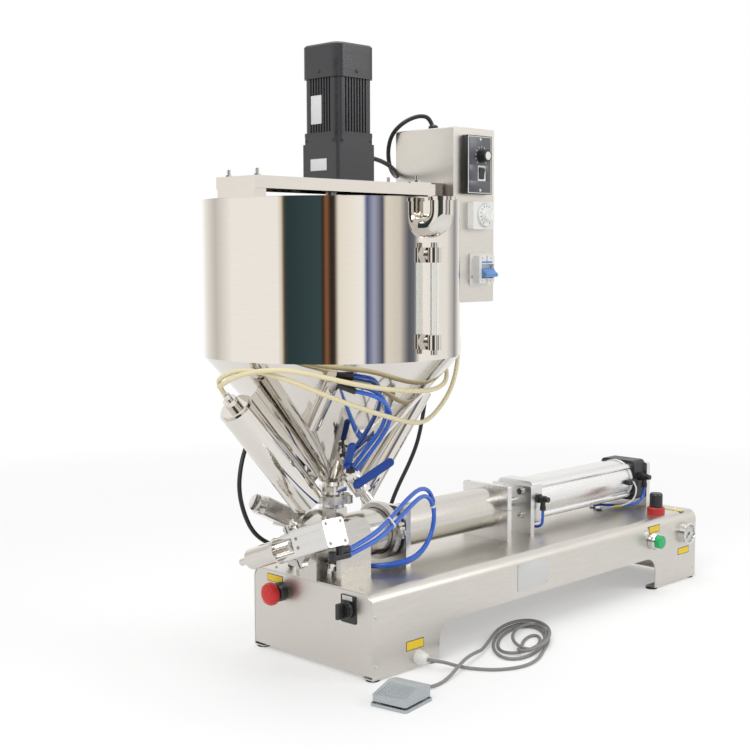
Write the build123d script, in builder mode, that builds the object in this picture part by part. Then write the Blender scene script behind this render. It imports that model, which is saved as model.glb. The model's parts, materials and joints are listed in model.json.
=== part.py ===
from build123d import *
import os
from math import atan2, cos, pi, radians, sin, tan

# Pneumatic paste filling machine, in millimetres. +X runs from the operator's end to the rear,
# +Z is up and the near long side faces -Y. Places are given from the outer face of the front
# panel, the centreline of the base and the floor, and the helpers below turn them into the
# model's frame, whose origin is the middle of the footprint on the floor.

# Driving dimensions
base_length = 1010
base_width = 305
base_height = 150
cover_sheet = 2
cover_bend = 20
foot_height = 3
leg_front = 166
leg_rear = 158
arch_height = 70
arch_corner = 32
axis_height = 211
hopper_x = 54.5
hopper_radius = 222
hopper_rim = 804
hopper_bottom = 540
jacket_gap = 15
shell_sheet = 2
material_bore = 37.3
tube_wall = 3.2
air_bore = 40
rod_radius = 10
stroke = 240
clamp_front_x = 181
clamp_rear_x = 470
plate_thickness = 12
clamp_width = 115
clamp_top = 258
air_plate_front_x = 553
air_plate_rear_x = 971
air_plate_width = 100
air_plate_top = 247
pipe_radius = 19
housing_radius = 42
rotor_radius = 35
crank_radius = 20
fit = 0.3
running_fit = 0.05

# Place of the front panel and of the centreline in the frame
front_x = -411
mid_y = 32


def at(x, y, z):
    """A point given from the front panel, the centreline and the floor."""
    return Vector(front_x + x, mid_y + y, z)


def level(z, x=0, y=0):
    """A horizontal sketch plane, local axes along X and Y."""
    return Plane(origin=at(x, y, z), x_dir=(1, 0, 0), z_dir=(0, 0, 1))


def side(y, x=0, z=0):
    """A sketch plane facing the near side, local axes along X and Z."""
    return Plane(origin=at(x, y, z), x_dir=(1, 0, 0), z_dir=(0, -1, 0))


def station(x, y=0, z=0):
    """A sketch plane facing the rear, local axes along Y and Z."""
    return Plane(origin=at(x, y, z), x_dir=(0, 1, 0), z_dir=(1, 0, 0))


os.makedirs("parts", exist_ok=True)

base_top = base_height
half_width = base_width / 2
leg_rear_x = base_length - leg_rear

# Controls on the base: places of the emergency stop, the selector and the start button
stop_y = 76
stop_z = 115
selector_y = -96
selector_z = 116
start_x = 837
start_z = 108
stem_hole_stop = 9
stem_hole_start = 14.8

# Base cover: one bent sheet, legs left by the arch, feet flanges turned in
screw_inset = 8
screw_levels = (25, 110)
screw_hole = 2.2
top_screw_y = 110
flange_width = 25
with BuildPart() as base_cover:
    with BuildSketch(station(0, 0, foot_height)) as cover_outline:
        with Locations((0, (base_height - foot_height) / 2)):
            Rectangle(base_width, base_height - foot_height)
        fillet(cover_outline.vertices().group_by(Axis.Y)[-1], cover_bend)
    extrude(amount=base_length)
    with BuildSketch(station(0, 0, foot_height)) as cover_inside:
        with Locations((0, (base_height - foot_height - cover_sheet) / 2)):
            Rectangle(base_width - 2 * cover_sheet, base_height - foot_height - cover_sheet)
        fillet(cover_inside.vertices().group_by(Axis.Y)[-1], cover_bend - cover_sheet)
    extrude(amount=base_length, mode=Mode.SUBTRACT)
    with BuildSketch(side(0)) as arch:
        with Locations(((leg_front + leg_rear_x) / 2, arch_height / 2)):
            Rectangle(leg_rear_x - leg_front, arch_height)
        fillet(arch.vertices().group_by(Axis.Y)[-1], arch_corner)
    extrude(amount=base_width, both=True, mode=Mode.SUBTRACT)
    for leg_start, leg_length in ((0, leg_front), (leg_rear_x, leg_rear)):
        with BuildSketch(level(foot_height, leg_start + leg_length / 2)):
            with GridLocations(0, base_width - flange_width, 1, 2):
                Rectangle(leg_length, flange_width)
        extrude(amount=cover_sheet)
    with BuildSketch(side(0)):
        with Locations(
            [(x, z) for x in (screw_inset, base_length - screw_inset) for z in screw_levels]
        ):
            Circle(screw_hole)
    extrude(amount=base_width, both=True, mode=Mode.SUBTRACT)
    with BuildSketch(level(base_top - 2 * cover_sheet)):
        with Locations(
            [
                (x, y)
                for x in (2 * screw_inset, base_length - 2 * screw_inset)
                for y in (-top_screw_y, top_screw_y)
            ]
        ):
            Circle(screw_hole)
    extrude(amount=4 * cover_sheet, mode=Mode.SUBTRACT)
    with BuildSketch(side(-base_width / 2 - cover_sheet)):
        with Locations((start_x, start_z)):
            Circle(stem_hole_start)
    extrude(amount=-3 * cover_sheet, mode=Mode.SUBTRACT)
base_cover.part.label = "base_cover"
export_step(base_cover.part, "parts/base_cover.step")

# End panels: folded trays pushed into the ends of the cover
panel_depth = 24
panel_seam = 0.8
panel_bottom = 8
with BuildPart() as end_panels:
    for panel_x, into in ((0, 1), (base_length, -1)):
        with BuildSketch(station(panel_x, 0, panel_bottom)) as panel_outline:
            with Locations((0, (base_top - cover_sheet - panel_bottom) / 2)):
                Rectangle(
                    base_width - 2 * cover_sheet,
                    base_top - cover_sheet - panel_bottom,
                )
            fillet(panel_outline.vertices().group_by(Axis.Y)[-1], cover_bend - cover_sheet + 1)
        extrude(amount=into * panel_depth)
        hollow_plane = station(panel_x + into * cover_sheet, 0, panel_bottom + cover_sheet)
        with BuildSketch(hollow_plane) as panel_hollow:
            with Locations((0, (base_top - 3 * cover_sheet - panel_bottom) / 2)):
                Rectangle(
                    base_width - 4 * cover_sheet,
                    base_top - 3 * cover_sheet - panel_bottom,
                )
            fillet(panel_hollow.vertices().group_by(Axis.Y)[-1], cover_bend - 2 * cover_sheet + 1)
        extrude(amount=into * panel_depth, mode=Mode.SUBTRACT)
    with BuildSketch(side(0)):
        with Locations(
            [(x, z) for x in (screw_inset, base_length - screw_inset) for z in screw_levels]
        ):
            Circle(screw_hole)
    extrude(amount=base_width, both=True, mode=Mode.SUBTRACT)
    with BuildSketch(level(base_top - 3 * cover_sheet)):
        with Locations(
            [
                (x, y)
                for x in (2 * screw_inset, base_length - 2 * screw_inset)
                for y in (-top_screw_y, top_screw_y)
            ]
        ):
            Circle(screw_hole)
    extrude(amount=4 * cover_sheet, mode=Mode.SUBTRACT)
    with BuildSketch(station(-cover_sheet, stop_y, stop_z)):
        Circle(stem_hole_stop)
    extrude(amount=3 * cover_sheet, mode=Mode.SUBTRACT)
    chamfer(end_panels.faces().sort_by(Axis.X)[0].outer_wire().edges(), panel_seam)
    chamfer(end_panels.faces().sort_by(Axis.X)[-1].outer_wire().edges(), panel_seam)
end_panels.part.label = "end_panels"
export_step(end_panels.part, "parts/end_panels.step")

# Feet
foot_size = 24
with BuildPart() as base_feet:
    with BuildSketch(level(0, base_length / 2)):
        with GridLocations(base_length - foot_size, base_width - foot_size, 2, 2):
            Circle(foot_size / 2)
        with GridLocations(
            base_length - 2 * leg_front + foot_size, base_width - foot_size, 2, 2
        ):
            Circle(foot_size / 2)
    extrude(amount=foot_height)
base_feet.part.label = "base_feet"
export_step(base_feet.part, "parts/base_feet.step")

# Plain shapes that several pieces share


def disc(plane, radius, length, bore=0):
    """A round bar or a tube standing on a plane."""
    with BuildPart() as bar:
        with BuildSketch(plane):
            Circle(radius)
            if bore:
                Circle(bore, mode=Mode.SUBTRACT)
        extrude(amount=length)
    return bar.part


def block(plane, width, height, depth, corner=0):
    """A rectangular block standing on a plane, its upright edges rounded."""
    with BuildPart() as body:
        with BuildSketch(plane) as outline:
            Rectangle(width, height)
            if corner:
                fillet(outline.vertices(), corner)
        extrude(amount=depth)
    return body.part


def hexagon(plane, across_flats, length, bore=0):
    """A hexagon bar or nut standing on a plane."""
    with BuildPart() as nut:
        with BuildSketch(plane):
            RegularPolygon(across_flats / 2, 6, major_radius=False)
            if bore:
                Circle(bore, mode=Mode.SUBTRACT)
        extrude(amount=length)
    return nut.part


def turned(plane, outline):
    """A turned piece, its outline given as radius and height along the plane's normal."""
    profile = Plane(origin=plane.origin, x_dir=plane.x_dir, z_dir=-plane.y_dir)
    with BuildPart() as piece:
        with BuildSketch(profile):
            with BuildLine():
                Polyline(*outline, close=True)
            make_face()
        revolve(axis=Axis(plane.origin, plane.z_dir))
    return piece.part


def along(origin, direction, across):
    """A plane at a point, its normal along a direction."""
    return Plane(origin=origin, x_dir=across, z_dir=direction)


# Fasteners: domed screws of the base, socket screws of the plates, studs and dome nuts
dome_radius = 3.8
dome_height = 2.4
dome_taper = 40
clamp_bolt_y = 49
clamp_bolt_radius = 4
clamp_head_radius = 6
clamp_head_height = 8
clamp_bolt_end = base_height + 28
air_bolt_spacing = 49
air_bolt_radius = 4
air_head_radius = 6.5
air_head_height = 6
stud_radius = 3
stud_height = 12
stud_front_x = -141
stud_rear_x = 232
stud_y = 36
crossbar_top = 838
crossbar_sheet = 3
dome_nut_x = 50
dome_nut_y = 14
with BuildPart() as fasteners:
    for facing in (-1, 1):
        for x in (screw_inset, base_length - screw_inset):
            for z in screw_levels:
                face = Plane(
                    origin=at(x, facing * half_width, z),
                    x_dir=(1, 0, 0),
                    z_dir=(0, facing, 0),
                )
                with BuildSketch(face):
                    Circle(dome_radius)
                extrude(amount=dome_height, taper=dome_taper)
                with BuildSketch(face):
                    Circle(screw_hole - fit)
                extrude(amount=-2 * cover_sheet)
    for x in (2 * screw_inset, base_length - 2 * screw_inset):
        for y in (-top_screw_y, top_screw_y):
            with BuildSketch(level(base_top, x, y)):
                Circle(dome_radius)
            extrude(amount=dome_height, taper=dome_taper)
            with BuildSketch(level(base_top, x, y)):
                Circle(screw_hole - fit)
            extrude(amount=-2 * cover_sheet)
    for x in (clamp_front_x, clamp_rear_x):
        for y in (-clamp_bolt_y, clamp_bolt_y):
            spot = (x + plate_thickness / 2, y)
            add(disc(level(clamp_bolt_end, *spot), clamp_bolt_radius, clamp_top - 5 - clamp_bolt_end))
            add(
                disc(
                    level(clamp_top - clamp_head_height, *spot),
                    clamp_head_radius - fit,
                    clamp_head_height,
                    clamp_bolt_radius / 2,
                )
            )
    for x, into in ((air_plate_front_x, 1), (air_plate_rear_x + plate_thickness, -1)):
        for y in (-air_bolt_spacing / 2, air_bolt_spacing / 2):
            for z in (-air_bolt_spacing / 2, air_bolt_spacing / 2):
                head = station(x, y, axis_height + z)
                add(disc(head, air_bolt_radius - fit, into * (plate_thickness + 10)))
                add(disc(head, air_head_radius, -into * air_head_height, air_bolt_radius / 2))
    for x, seat in ((stud_front_x, crossbar_top), (stud_rear_x, crossbar_top + crossbar_sheet)):
        for y in (-stud_y, stud_y):
            add(disc(level(seat, x, y), stud_radius, stud_height))
            add(hexagon(level(seat, x, y), 3.3 * stud_radius, stud_radius))
    for y in (-dome_nut_y, dome_nut_y):
        add(hexagon(level(base_top, dome_nut_x, y), 17, 9))
        add(turned(level(base_top + 9, dome_nut_x, y), [(0, 0), (7, 0), (6, 5), (3, 8), (0, 9)]))
fasteners.part.label = "fasteners"
export_step(fasteners.part, "parts/fasteners.step")

# Upright plates: lower halves of the split clamps and the two air cylinder plates
tube_outer = material_bore + tube_wall
split_gap = 1
plate_edge = 1.5
nose_radius = 20
clamp_middle = (base_top + axis_height - split_gap / 2) / 2
with BuildPart() as upright_plates:
    for x in (clamp_front_x, clamp_rear_x):
        with BuildSketch(station(x)):
            with Locations((0, clamp_middle)):
                Rectangle(clamp_width, axis_height - split_gap / 2 - base_top)
            with Locations((0, axis_height)):
                Circle(tube_outer + running_fit, mode=Mode.SUBTRACT)
        extrude(amount=plate_thickness)
        with BuildSketch(level(clamp_bolt_end, x + plate_thickness / 2)):
            with GridLocations(0, 2 * clamp_bolt_y, 1, 2):
                Circle(clamp_bolt_radius + running_fit)
        extrude(amount=axis_height - clamp_bolt_end, mode=Mode.SUBTRACT)
    for x in (air_plate_front_x, air_plate_rear_x):
        with BuildSketch(station(x)) as air_plate:
            with Locations((0, (base_top + air_plate_top) / 2)):
                Rectangle(air_plate_width, air_plate_top - base_top)
            fillet(air_plate.vertices().group_by(Axis.Y)[-1], 2 * plate_edge)
            with Locations((0, axis_height)):
                Circle(nose_radius + fit, mode=Mode.SUBTRACT)
                with GridLocations(air_bolt_spacing, air_bolt_spacing, 2, 2):
                    Circle(air_bolt_radius, mode=Mode.SUBTRACT)
        extrude(amount=plate_thickness)
upright_plates.part.label = "upright_plates"
export_step(upright_plates.part, "parts/upright_plates.step")

# Clamp caps: upper halves of the split clamps
cap_bottom = axis_height + split_gap / 2
with BuildPart() as clamp_caps:
    for x in (clamp_front_x, clamp_rear_x):
        with BuildSketch(station(x)) as cap_outline:
            with Locations((0, (cap_bottom + clamp_top) / 2)):
                Rectangle(clamp_width, clamp_top - cap_bottom)
            fillet(cap_outline.vertices().group_by(Axis.Y)[-1], 2 * plate_edge)
            with Locations((0, axis_height)):
                Circle(tube_outer + running_fit, mode=Mode.SUBTRACT)
        extrude(amount=plate_thickness)
        with BuildSketch(level(cap_bottom, x + plate_thickness / 2)):
            with GridLocations(0, 2 * clamp_bolt_y, 1, 2):
                Circle(clamp_bolt_radius + running_fit)
        extrude(amount=clamp_top - cap_bottom, mode=Mode.SUBTRACT)
        with BuildSketch(level(clamp_top, x + plate_thickness / 2)):
            with GridLocations(0, 2 * clamp_bolt_y, 1, 2):
                Circle(clamp_head_radius)
        extrude(amount=-clamp_head_height, mode=Mode.SUBTRACT)
clamp_caps.part.label = "clamp_caps"
export_step(clamp_caps.part, "parts/clamp_caps.step")

# Material tube with the flange that the big pipe clamp holds
tube_front = 168
tube_end = clamp_rear_x + plate_thickness - 2
flange_thickness = 3
big_flange_radius = 46
with BuildPart() as material_tube:
    add(
        turned(
            station(tube_front, 0, axis_height),
            [
                (material_bore, 0),
                (big_flange_radius, 0),
                (big_flange_radius, flange_thickness - 1),
                (tube_outer, flange_thickness + 1),
                (tube_outer, tube_end - tube_front),
                (material_bore, tube_end - tube_front),
            ],
        )
    )
material_tube.part.label = "material_tube"
export_step(material_tube.part, "parts/material_tube.step")

# Material piston with two lip seals, on the end of the drive rod
piston_front = 186
piston_length = 32
piston_step = 1.6
seal_width = 4
thread_depth = 20
piston_radius = material_bore - fit
with BuildPart() as material_piston:
    add(
        turned(
            station(piston_front, 0, axis_height),
            [
                (0, 0),
                (piston_radius - piston_step, 0),
                (piston_radius - piston_step, seal_width),
                (piston_radius, seal_width),
                (piston_radius, 2 * seal_width),
                (piston_radius - piston_step, 2.5 * seal_width),
                (piston_radius - piston_step, piston_length - 2.5 * seal_width),
                (piston_radius, piston_length - 2 * seal_width),
                (piston_radius, piston_length - seal_width),
                (piston_radius - piston_step, piston_length - seal_width),
                (piston_radius - piston_step, piston_length),
                (rod_radius, piston_length),
                (rod_radius, piston_length - thread_depth),
                (0, piston_length - thread_depth),
            ],
        )
    )
material_piston.part.label = "material_piston"
export_step(material_piston.part, "parts/material_piston.step")

# Drive rod with the air piston fixed on its rear end
air_front_cap = 32
air_rear_cap = 41
air_cap_side = 88
rod_start = piston_front + piston_length - thread_depth
air_piston_x = air_plate_front_x + plate_thickness + air_front_cap + 3
air_piston_length = 24
with BuildPart() as drive_rod:
    add(disc(station(rod_start, 0, axis_height), rod_radius, air_piston_x - rod_start))
    add(disc(station(air_piston_x, 0, axis_height), air_bore - fit, air_piston_length))
drive_rod.part.label = "drive_rod"
export_step(drive_rod.part, "parts/drive_rod.step")

# Air cylinder barrel: drawn profile with four screw bosses
barrel_start = air_plate_front_x + plate_thickness + air_front_cap
barrel_end = air_plate_rear_x - air_rear_cap
barrel_wall = 2.5
boss_radius = 7
boss_place = 61
with BuildPart() as air_barrel:
    with BuildSketch(station(barrel_start, 0, axis_height)):
        Circle(air_bore + barrel_wall)
        with GridLocations(boss_place, boss_place, 2, 2):
            Circle(boss_radius)
        Circle(air_bore, mode=Mode.SUBTRACT)
    extrude(amount=barrel_end - barrel_start)
air_barrel.part.label = "air_barrel"
export_step(air_barrel.part, "parts/air_barrel.step")

# Air cylinder caps with noses that sit in the plates
with BuildPart() as air_caps:
    front_face = air_plate_front_x + plate_thickness
    with BuildSketch(station(front_face, 0, axis_height)):
        RectangleRounded(air_cap_side, air_cap_side, 10)
    extrude(amount=air_front_cap)
    with BuildSketch(station(air_plate_front_x, 0, axis_height)):
        Circle(nose_radius)
    extrude(amount=plate_thickness)
    with BuildSketch(station(air_plate_front_x, 0, axis_height)):
        Circle(rod_radius + running_fit)
        with GridLocations(air_bolt_spacing, air_bolt_spacing, 2, 2):
            Circle(air_bolt_radius)
    extrude(amount=plate_thickness + air_front_cap, mode=Mode.SUBTRACT)
    with BuildSketch(station(barrel_end, 0, axis_height)):
        RectangleRounded(air_cap_side, air_cap_side, 10)
    extrude(amount=air_rear_cap)
    with BuildSketch(station(air_plate_rear_x, 0, axis_height)):
        Circle(nose_radius)
    extrude(amount=plate_thickness)
    with BuildSketch(station(air_plate_rear_x, 0, axis_height)):
        with GridLocations(air_bolt_spacing, air_bolt_spacing, 2, 2):
            Circle(air_bolt_radius)
    extrude(amount=-air_rear_cap / 2, mode=Mode.SUBTRACT)
air_caps.part.label = "air_caps"
export_step(air_caps.part, "parts/air_caps.step")

# Valve housing: rotor bore across, flanged necks to the tube, the nozzle and the hopper
housing_half = 46
small_flange_radius = 25
pipe_bore = pipe_radius - 3
neck_front_x = -33
column_joint = 286
rotor_fit = rotor_radius + fit
passage_end = 112
with BuildPart() as valve_housing:
    with BuildSketch(side(housing_half, hopper_x, axis_height)):
        Circle(housing_radius)
    extrude(amount=2 * housing_half)
    add(
        turned(
            station(hopper_x, 0, axis_height),
            [
                (0, 0),
                (housing_radius, 0),
                (housing_radius, tube_front - hopper_x - flange_thickness - 1),
                (big_flange_radius, tube_front - hopper_x - flange_thickness + 1),
                (big_flange_radius, tube_front - hopper_x),
                (0, tube_front - hopper_x),
            ],
        )
    )
    add(disc(station(hopper_x, 0, axis_height), pipe_radius, neck_front_x - hopper_x))
    add(disc(station(neck_front_x, 0, axis_height), small_flange_radius, flange_thickness))
    add(disc(level(axis_height, hopper_x), pipe_radius, column_joint - axis_height))
    add(disc(level(column_joint, hopper_x), small_flange_radius, -flange_thickness))
    add(hexagon(level(housing_radius + axis_height + 3, hopper_x), 44, 15))
    with BuildSketch(side(housing_half, hopper_x, axis_height)):
        Circle(rotor_fit)
    extrude(amount=2 * housing_half, mode=Mode.SUBTRACT)
    with BuildSketch(station(neck_front_x, 0, axis_height)):
        Circle(pipe_bore)
    extrude(amount=tube_front - neck_front_x, mode=Mode.SUBTRACT)
    with BuildSketch(station(tube_front, 0, axis_height)):
        Circle(material_bore)
    extrude(amount=passage_end - tube_front, mode=Mode.SUBTRACT)
    with BuildSketch(level(axis_height, hopper_x)):
        Circle(pipe_bore)
    extrude(amount=column_joint - axis_height, mode=Mode.SUBTRACT)
valve_housing.part.label = "valve_housing"
export_step(valve_housing.part, "parts/valve_housing.step")

# Valve plates: two round-topped plates on the base, the saddle and the actuator's bracket
valve_plate_width = 72
valve_plate_corner = 28
valve_plate_top = 258
journal_radius = 10
saddle_x = 6
saddle_length = 24
saddle_width = 44
actuator_tilt = 27
actuator_y = 98
actuator_bracket = 38
actuator_nose = 9
bracket_thickness = 8
tilt = radians(actuator_tilt)
rod_way = Vector(-cos(tilt), 0, sin(tilt))
offset_way = Vector(sin(tilt), 0, cos(tilt))
yoke_offset = crank_radius * (1 + cos(radians(45))) / 2
rod_line = at(hopper_x, actuator_y, axis_height) + offset_way * yoke_offset
bracket_height = 40
with BuildPart() as valve_plates:
    for y in (-housing_half, housing_half + plate_thickness):
        with BuildSketch(side(y, hopper_x)) as valve_plate:
            with Locations((0, (base_top + valve_plate_top) / 2)):
                Rectangle(valve_plate_width, valve_plate_top - base_top)
            fillet(valve_plate.vertices().group_by(Axis.Y)[-1], valve_plate_corner)
            with Locations((0, axis_height)):
                Circle(journal_radius + running_fit, mode=Mode.SUBTRACT)
        extrude(amount=plate_thickness)
    with BuildSketch(station(saddle_x - saddle_length / 2)):
        with Locations((0, (base_top + axis_height) / 2)):
            Rectangle(saddle_width, axis_height - base_top)
        with Locations((0, axis_height)):
            Circle(pipe_radius + running_fit, mode=Mode.SUBTRACT)
    extrude(amount=saddle_length)
    with BuildSketch(side(housing_half, hopper_x, axis_height)):
        Circle(housing_radius + running_fit)
    extrude(amount=2 * housing_half, mode=Mode.SUBTRACT)
    bracket_start = housing_half + plate_thickness
    bracket_reach = actuator_y + 16 - bracket_start
    bracket_face = along(
        rod_line
        + rod_way * actuator_bracket
        + Vector(0, bracket_start + bracket_reach / 2 - actuator_y, 0),
        rod_way,
        (0, 1, 0),
    )
    add(block(bracket_face, bracket_reach, bracket_height, bracket_thickness))
    with BuildSketch(along(rod_line + rod_way * actuator_bracket, rod_way, (0, 1, 0))):
        Circle(actuator_nose + running_fit)
    extrude(amount=bracket_thickness, mode=Mode.SUBTRACT)
valve_plates.part.label = "valve_plates"
export_step(valve_plates.part, "parts/valve_plates.step")

# Pipe clamps: two-piece rings over the flange pairs, hinge on one side, wing nut on the other
clamp_ring_half = 7
clamp_rim = 6


def pipe_clamp(plane, pipe, flange):
    """A clamp of two half rings with its hinge, bolt and wing nut."""
    outer = flange + clamp_rim
    groove = flange + fit
    neck = pipe + 1.2
    lip = flange_thickness + fit
    with BuildPart() as ring:
        add(
            turned(
                plane,
                [
                    (neck, -clamp_ring_half),
                    (outer, -clamp_ring_half),
                    (outer, clamp_ring_half),
                    (neck, clamp_ring_half),
                    (neck, lip + 2),
                    (groove, lip),
                    (groove, -lip),
                    (neck, -lip - 2),
                ],
            )
        )
        with BuildSketch(plane.offset(-2 * clamp_ring_half)):
            Rectangle(3 * outer, 3)
        extrude(amount=4 * clamp_ring_half, mode=Mode.SUBTRACT)
        ears = Plane(
            origin=plane.origin + plane.x_dir * (outer + 3),
            x_dir=plane.x_dir,
            z_dir=plane.y_dir,
        )
        for start in (1.5, -6.5):
            add(block(ears.offset(start), 14, 2 * clamp_ring_half, 5))
            hinge = Plane(
                origin=plane.origin - plane.x_dir * (outer + 1) + plane.y_dir * start,
                x_dir=plane.x_dir,
                z_dir=plane.y_dir,
            )
            add(block(hinge, 8, 2 * clamp_ring_half, 5))
    with BuildPart() as clamp:
        add(ring.part)
        bolt = Plane(
            origin=plane.origin + plane.x_dir * (outer + 6) - plane.y_dir * 14,
            x_dir=plane.x_dir,
            z_dir=plane.y_dir,
        )
        add(disc(bolt, 3, 36))
        add(hexagon(bolt.offset(21), 12, 6))
        add(block(bolt.offset(22), 20, 4, 9, 1.5))
    return clamp.part


with BuildPart() as pipe_clamps:
    add(
        pipe_clamp(
            Plane(origin=at(hopper_x, 0, column_joint), x_dir=(-0.34, 0.94, 0), z_dir=(0, 0, 1)),
            pipe_radius,
            small_flange_radius,
        )
    )
    add(
        pipe_clamp(
            Plane(origin=at(neck_front_x, 0, axis_height), x_dir=(0, 0.5, 0.87), z_dir=(1, 0, 0)),
            pipe_radius,
            small_flange_radius,
        )
    )
    add(
        pipe_clamp(
            Plane(origin=at(tube_front, 0, axis_height), x_dir=(0, -0.97, 0.26), z_dir=(1, 0, 0)),
            housing_radius,
            big_flange_radius,
        )
    )
pipe_clamps.part.label = "pipe_clamps"
export_step(pipe_clamps.part, "parts/pipe_clamps.step")

# Valve rotor: plug with a T passage, journals and the crank with its pin
rotor_half = housing_half - fit
crank_start = housing_half + plate_thickness + 5
crank_thickness = 10
crank_pin_radius = 4
rest_way = Vector(
    sin(tilt) * cos(radians(45)) + cos(tilt) * sin(radians(45)),
    0,
    cos(tilt) * cos(radians(45)) - sin(tilt) * sin(radians(45)),
)
pin_centre = at(hopper_x, 0, axis_height) + rest_way * crank_radius
with BuildPart() as valve_rotor:
    with BuildSketch(side(rotor_half, hopper_x, axis_height)):
        Circle(rotor_radius)
    extrude(amount=2 * rotor_half)
    with BuildSketch(station(hopper_x - 2 * rotor_radius, 0, axis_height)):
        Circle(pipe_bore)
    extrude(amount=4 * rotor_radius, mode=Mode.SUBTRACT)
    with BuildSketch(level(axis_height, hopper_x)):
        Circle(pipe_bore)
    extrude(amount=-2 * rotor_radius, mode=Mode.SUBTRACT)
    add(disc(side(-rotor_half, hopper_x, axis_height), journal_radius, plate_thickness))
    stem_end = crank_start + crank_thickness + 4
    add(disc(side(rotor_half, hopper_x, axis_height), journal_radius, rotor_half - stem_end))
    crank_face = side(crank_start + crank_thickness, hopper_x, axis_height)
    with BuildSketch(crank_face):
        Circle(16)
        with Locations(crank_face.to_local_coords(pin_centre)):
            Circle(9)
        with BuildLine():
            ends = crank_face.to_local_coords(pin_centre)
            reach = Vector(ends.X, ends.Y)
            across = Vector(-reach.Y, reach.X).normalized()
            Polyline(
                across * 15.5,
                reach + across * 8.6,
                reach - across * 8.6,
                across * -15.5,
                close=True,
            )
        make_face()
    extrude(amount=crank_thickness)
    pin_plane = Plane(
        origin=pin_centre + Vector(0, crank_start + crank_thickness / 2, 0),
        x_dir=(1, 0, 0),
        z_dir=(0, 1, 0),
    )
    pin_length = actuator_y + 9 - crank_start - crank_thickness / 2
    add(disc(pin_plane, crank_pin_radius, pin_length))
valve_rotor.part.label = "valve_rotor"
export_step(valve_rotor.part, "parts/valve_rotor.step")

# Rotor rod: slotted yoke round the crank pin, rod and piston
yoke_rest = -crank_radius * cos(radians(45))
pin_clearance = 1
yoke_thickness = 12
actuator_rod = 5
rod_piston = 11
body_start = actuator_bracket + bracket_thickness
body_length = 56
body_side = 34
piston_seat = body_start + 10
with BuildPart() as rotor_rod:
    yoke_plane = Plane(
        origin=rod_line + rod_way * yoke_rest - Vector(0, yoke_thickness / 2, 0),
        x_dir=rod_way,
        z_dir=(0, 1, 0),
    )
    with BuildSketch(yoke_plane):
        RectangleRounded(22, 34, 4)
        SlotOverall(
            2 * (crank_radius * (1 - cos(radians(45))) / 2 + crank_pin_radius + pin_clearance + 1),
            2 * (crank_pin_radius + pin_clearance),
            rotation=90,
            mode=Mode.SUBTRACT,
        )
    extrude(amount=yoke_thickness)
    rod_foot = along(rod_line + rod_way * (yoke_rest + 10), rod_way, (0, 1, 0))
    add(disc(rod_foot, actuator_rod, piston_seat - yoke_rest - 10))
    add(disc(along(rod_line + rod_way * piston_seat, rod_way, (0, 1, 0)), rod_piston - fit, 8))
rotor_rod.part.label = "rotor_rod"
export_step(rotor_rod.part, "parts/rotor_rod.step")

# Rotor cylinder: small air cylinder whose nose is held in the bracket
cap_radius = 15
cap_length = 14
with BuildPart() as rotor_cylinder:
    nose_plane = along(rod_line + rod_way * (actuator_bracket - 4), rod_way, (0, 1, 0))
    body_plane = along(rod_line + rod_way * body_start, rod_way, (0, 1, 0))
    add(disc(nose_plane, actuator_nose, bracket_thickness + 4 + 2))
    add(block(body_plane, body_side, body_side, body_length, 4))
    with BuildSketch(nose_plane):
        Circle(actuator_rod + running_fit)
    extrude(amount=bracket_thickness + 4 + 8, mode=Mode.SUBTRACT)
    with BuildSketch(body_plane.offset(7)):
        Circle(rod_piston)
    extrude(amount=body_length - 14, mode=Mode.SUBTRACT)
    cap_plane = body_plane.offset(body_length)
    with BuildSketch(cap_plane):
        Circle(cap_radius)
    extrude(amount=cap_length)
    with BuildSketch(cap_plane.offset(cap_length - 8)):
        Rectangle(5, 3 * cap_radius)
    extrude(amount=cap_length, mode=Mode.SUBTRACT)
rotor_cylinder.part.label = "rotor_cylinder"
export_step(rotor_cylinder.part, "parts/rotor_cylinder.step")

# Nozzle axis: across the machine, tipped down towards the far side
nozzle_x = -97
nozzle_tilt = 20.6
tip_way = Vector(0, cos(radians(nozzle_tilt)), -sin(radians(nozzle_tilt)))
up_way = Vector(0, sin(radians(nozzle_tilt)), cos(radians(nozzle_tilt)))
nozzle_bore = 14
nozzle_radius = 18.5
nozzle_back = -40
nozzle_front = 38
tip_radius = 6.5
tip_bore = 4.5
tip_end = 72
seat_start = 30
seat_end = 44


def nozzle_plane(distance):
    """A plane across the nozzle's axis, at a distance from its middle towards the tip."""
    return along(at(nozzle_x, 0, axis_height) + tip_way * distance, tip_way, (1, 0, 0))


with BuildPart() as nozzle_body:
    add(disc(nozzle_plane(nozzle_back), nozzle_radius, nozzle_front - nozzle_back))
    add(disc(nozzle_plane(nozzle_back), nozzle_radius + 4, 8))
    add(disc(station(nozzle_x, 0, axis_height), pipe_radius - 1, neck_front_x - nozzle_x))
    add(disc(station(neck_front_x, 0, axis_height), small_flange_radius, -flange_thickness))
    with BuildSketch(nozzle_plane(nozzle_back + 8)):
        Circle(nozzle_bore)
    extrude(amount=nozzle_front - nozzle_back, mode=Mode.SUBTRACT)
    with BuildSketch(nozzle_plane(nozzle_back)):
        Circle(actuator_rod + running_fit)
    extrude(amount=20, mode=Mode.SUBTRACT)
    with BuildSketch(station(nozzle_x, 0, axis_height)):
        Circle(pipe_bore - 4)
    extrude(amount=neck_front_x - nozzle_x, mode=Mode.SUBTRACT)
nozzle_body.part.label = "nozzle_body"
export_step(nozzle_body.part, "parts/nozzle_body.step")

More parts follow.
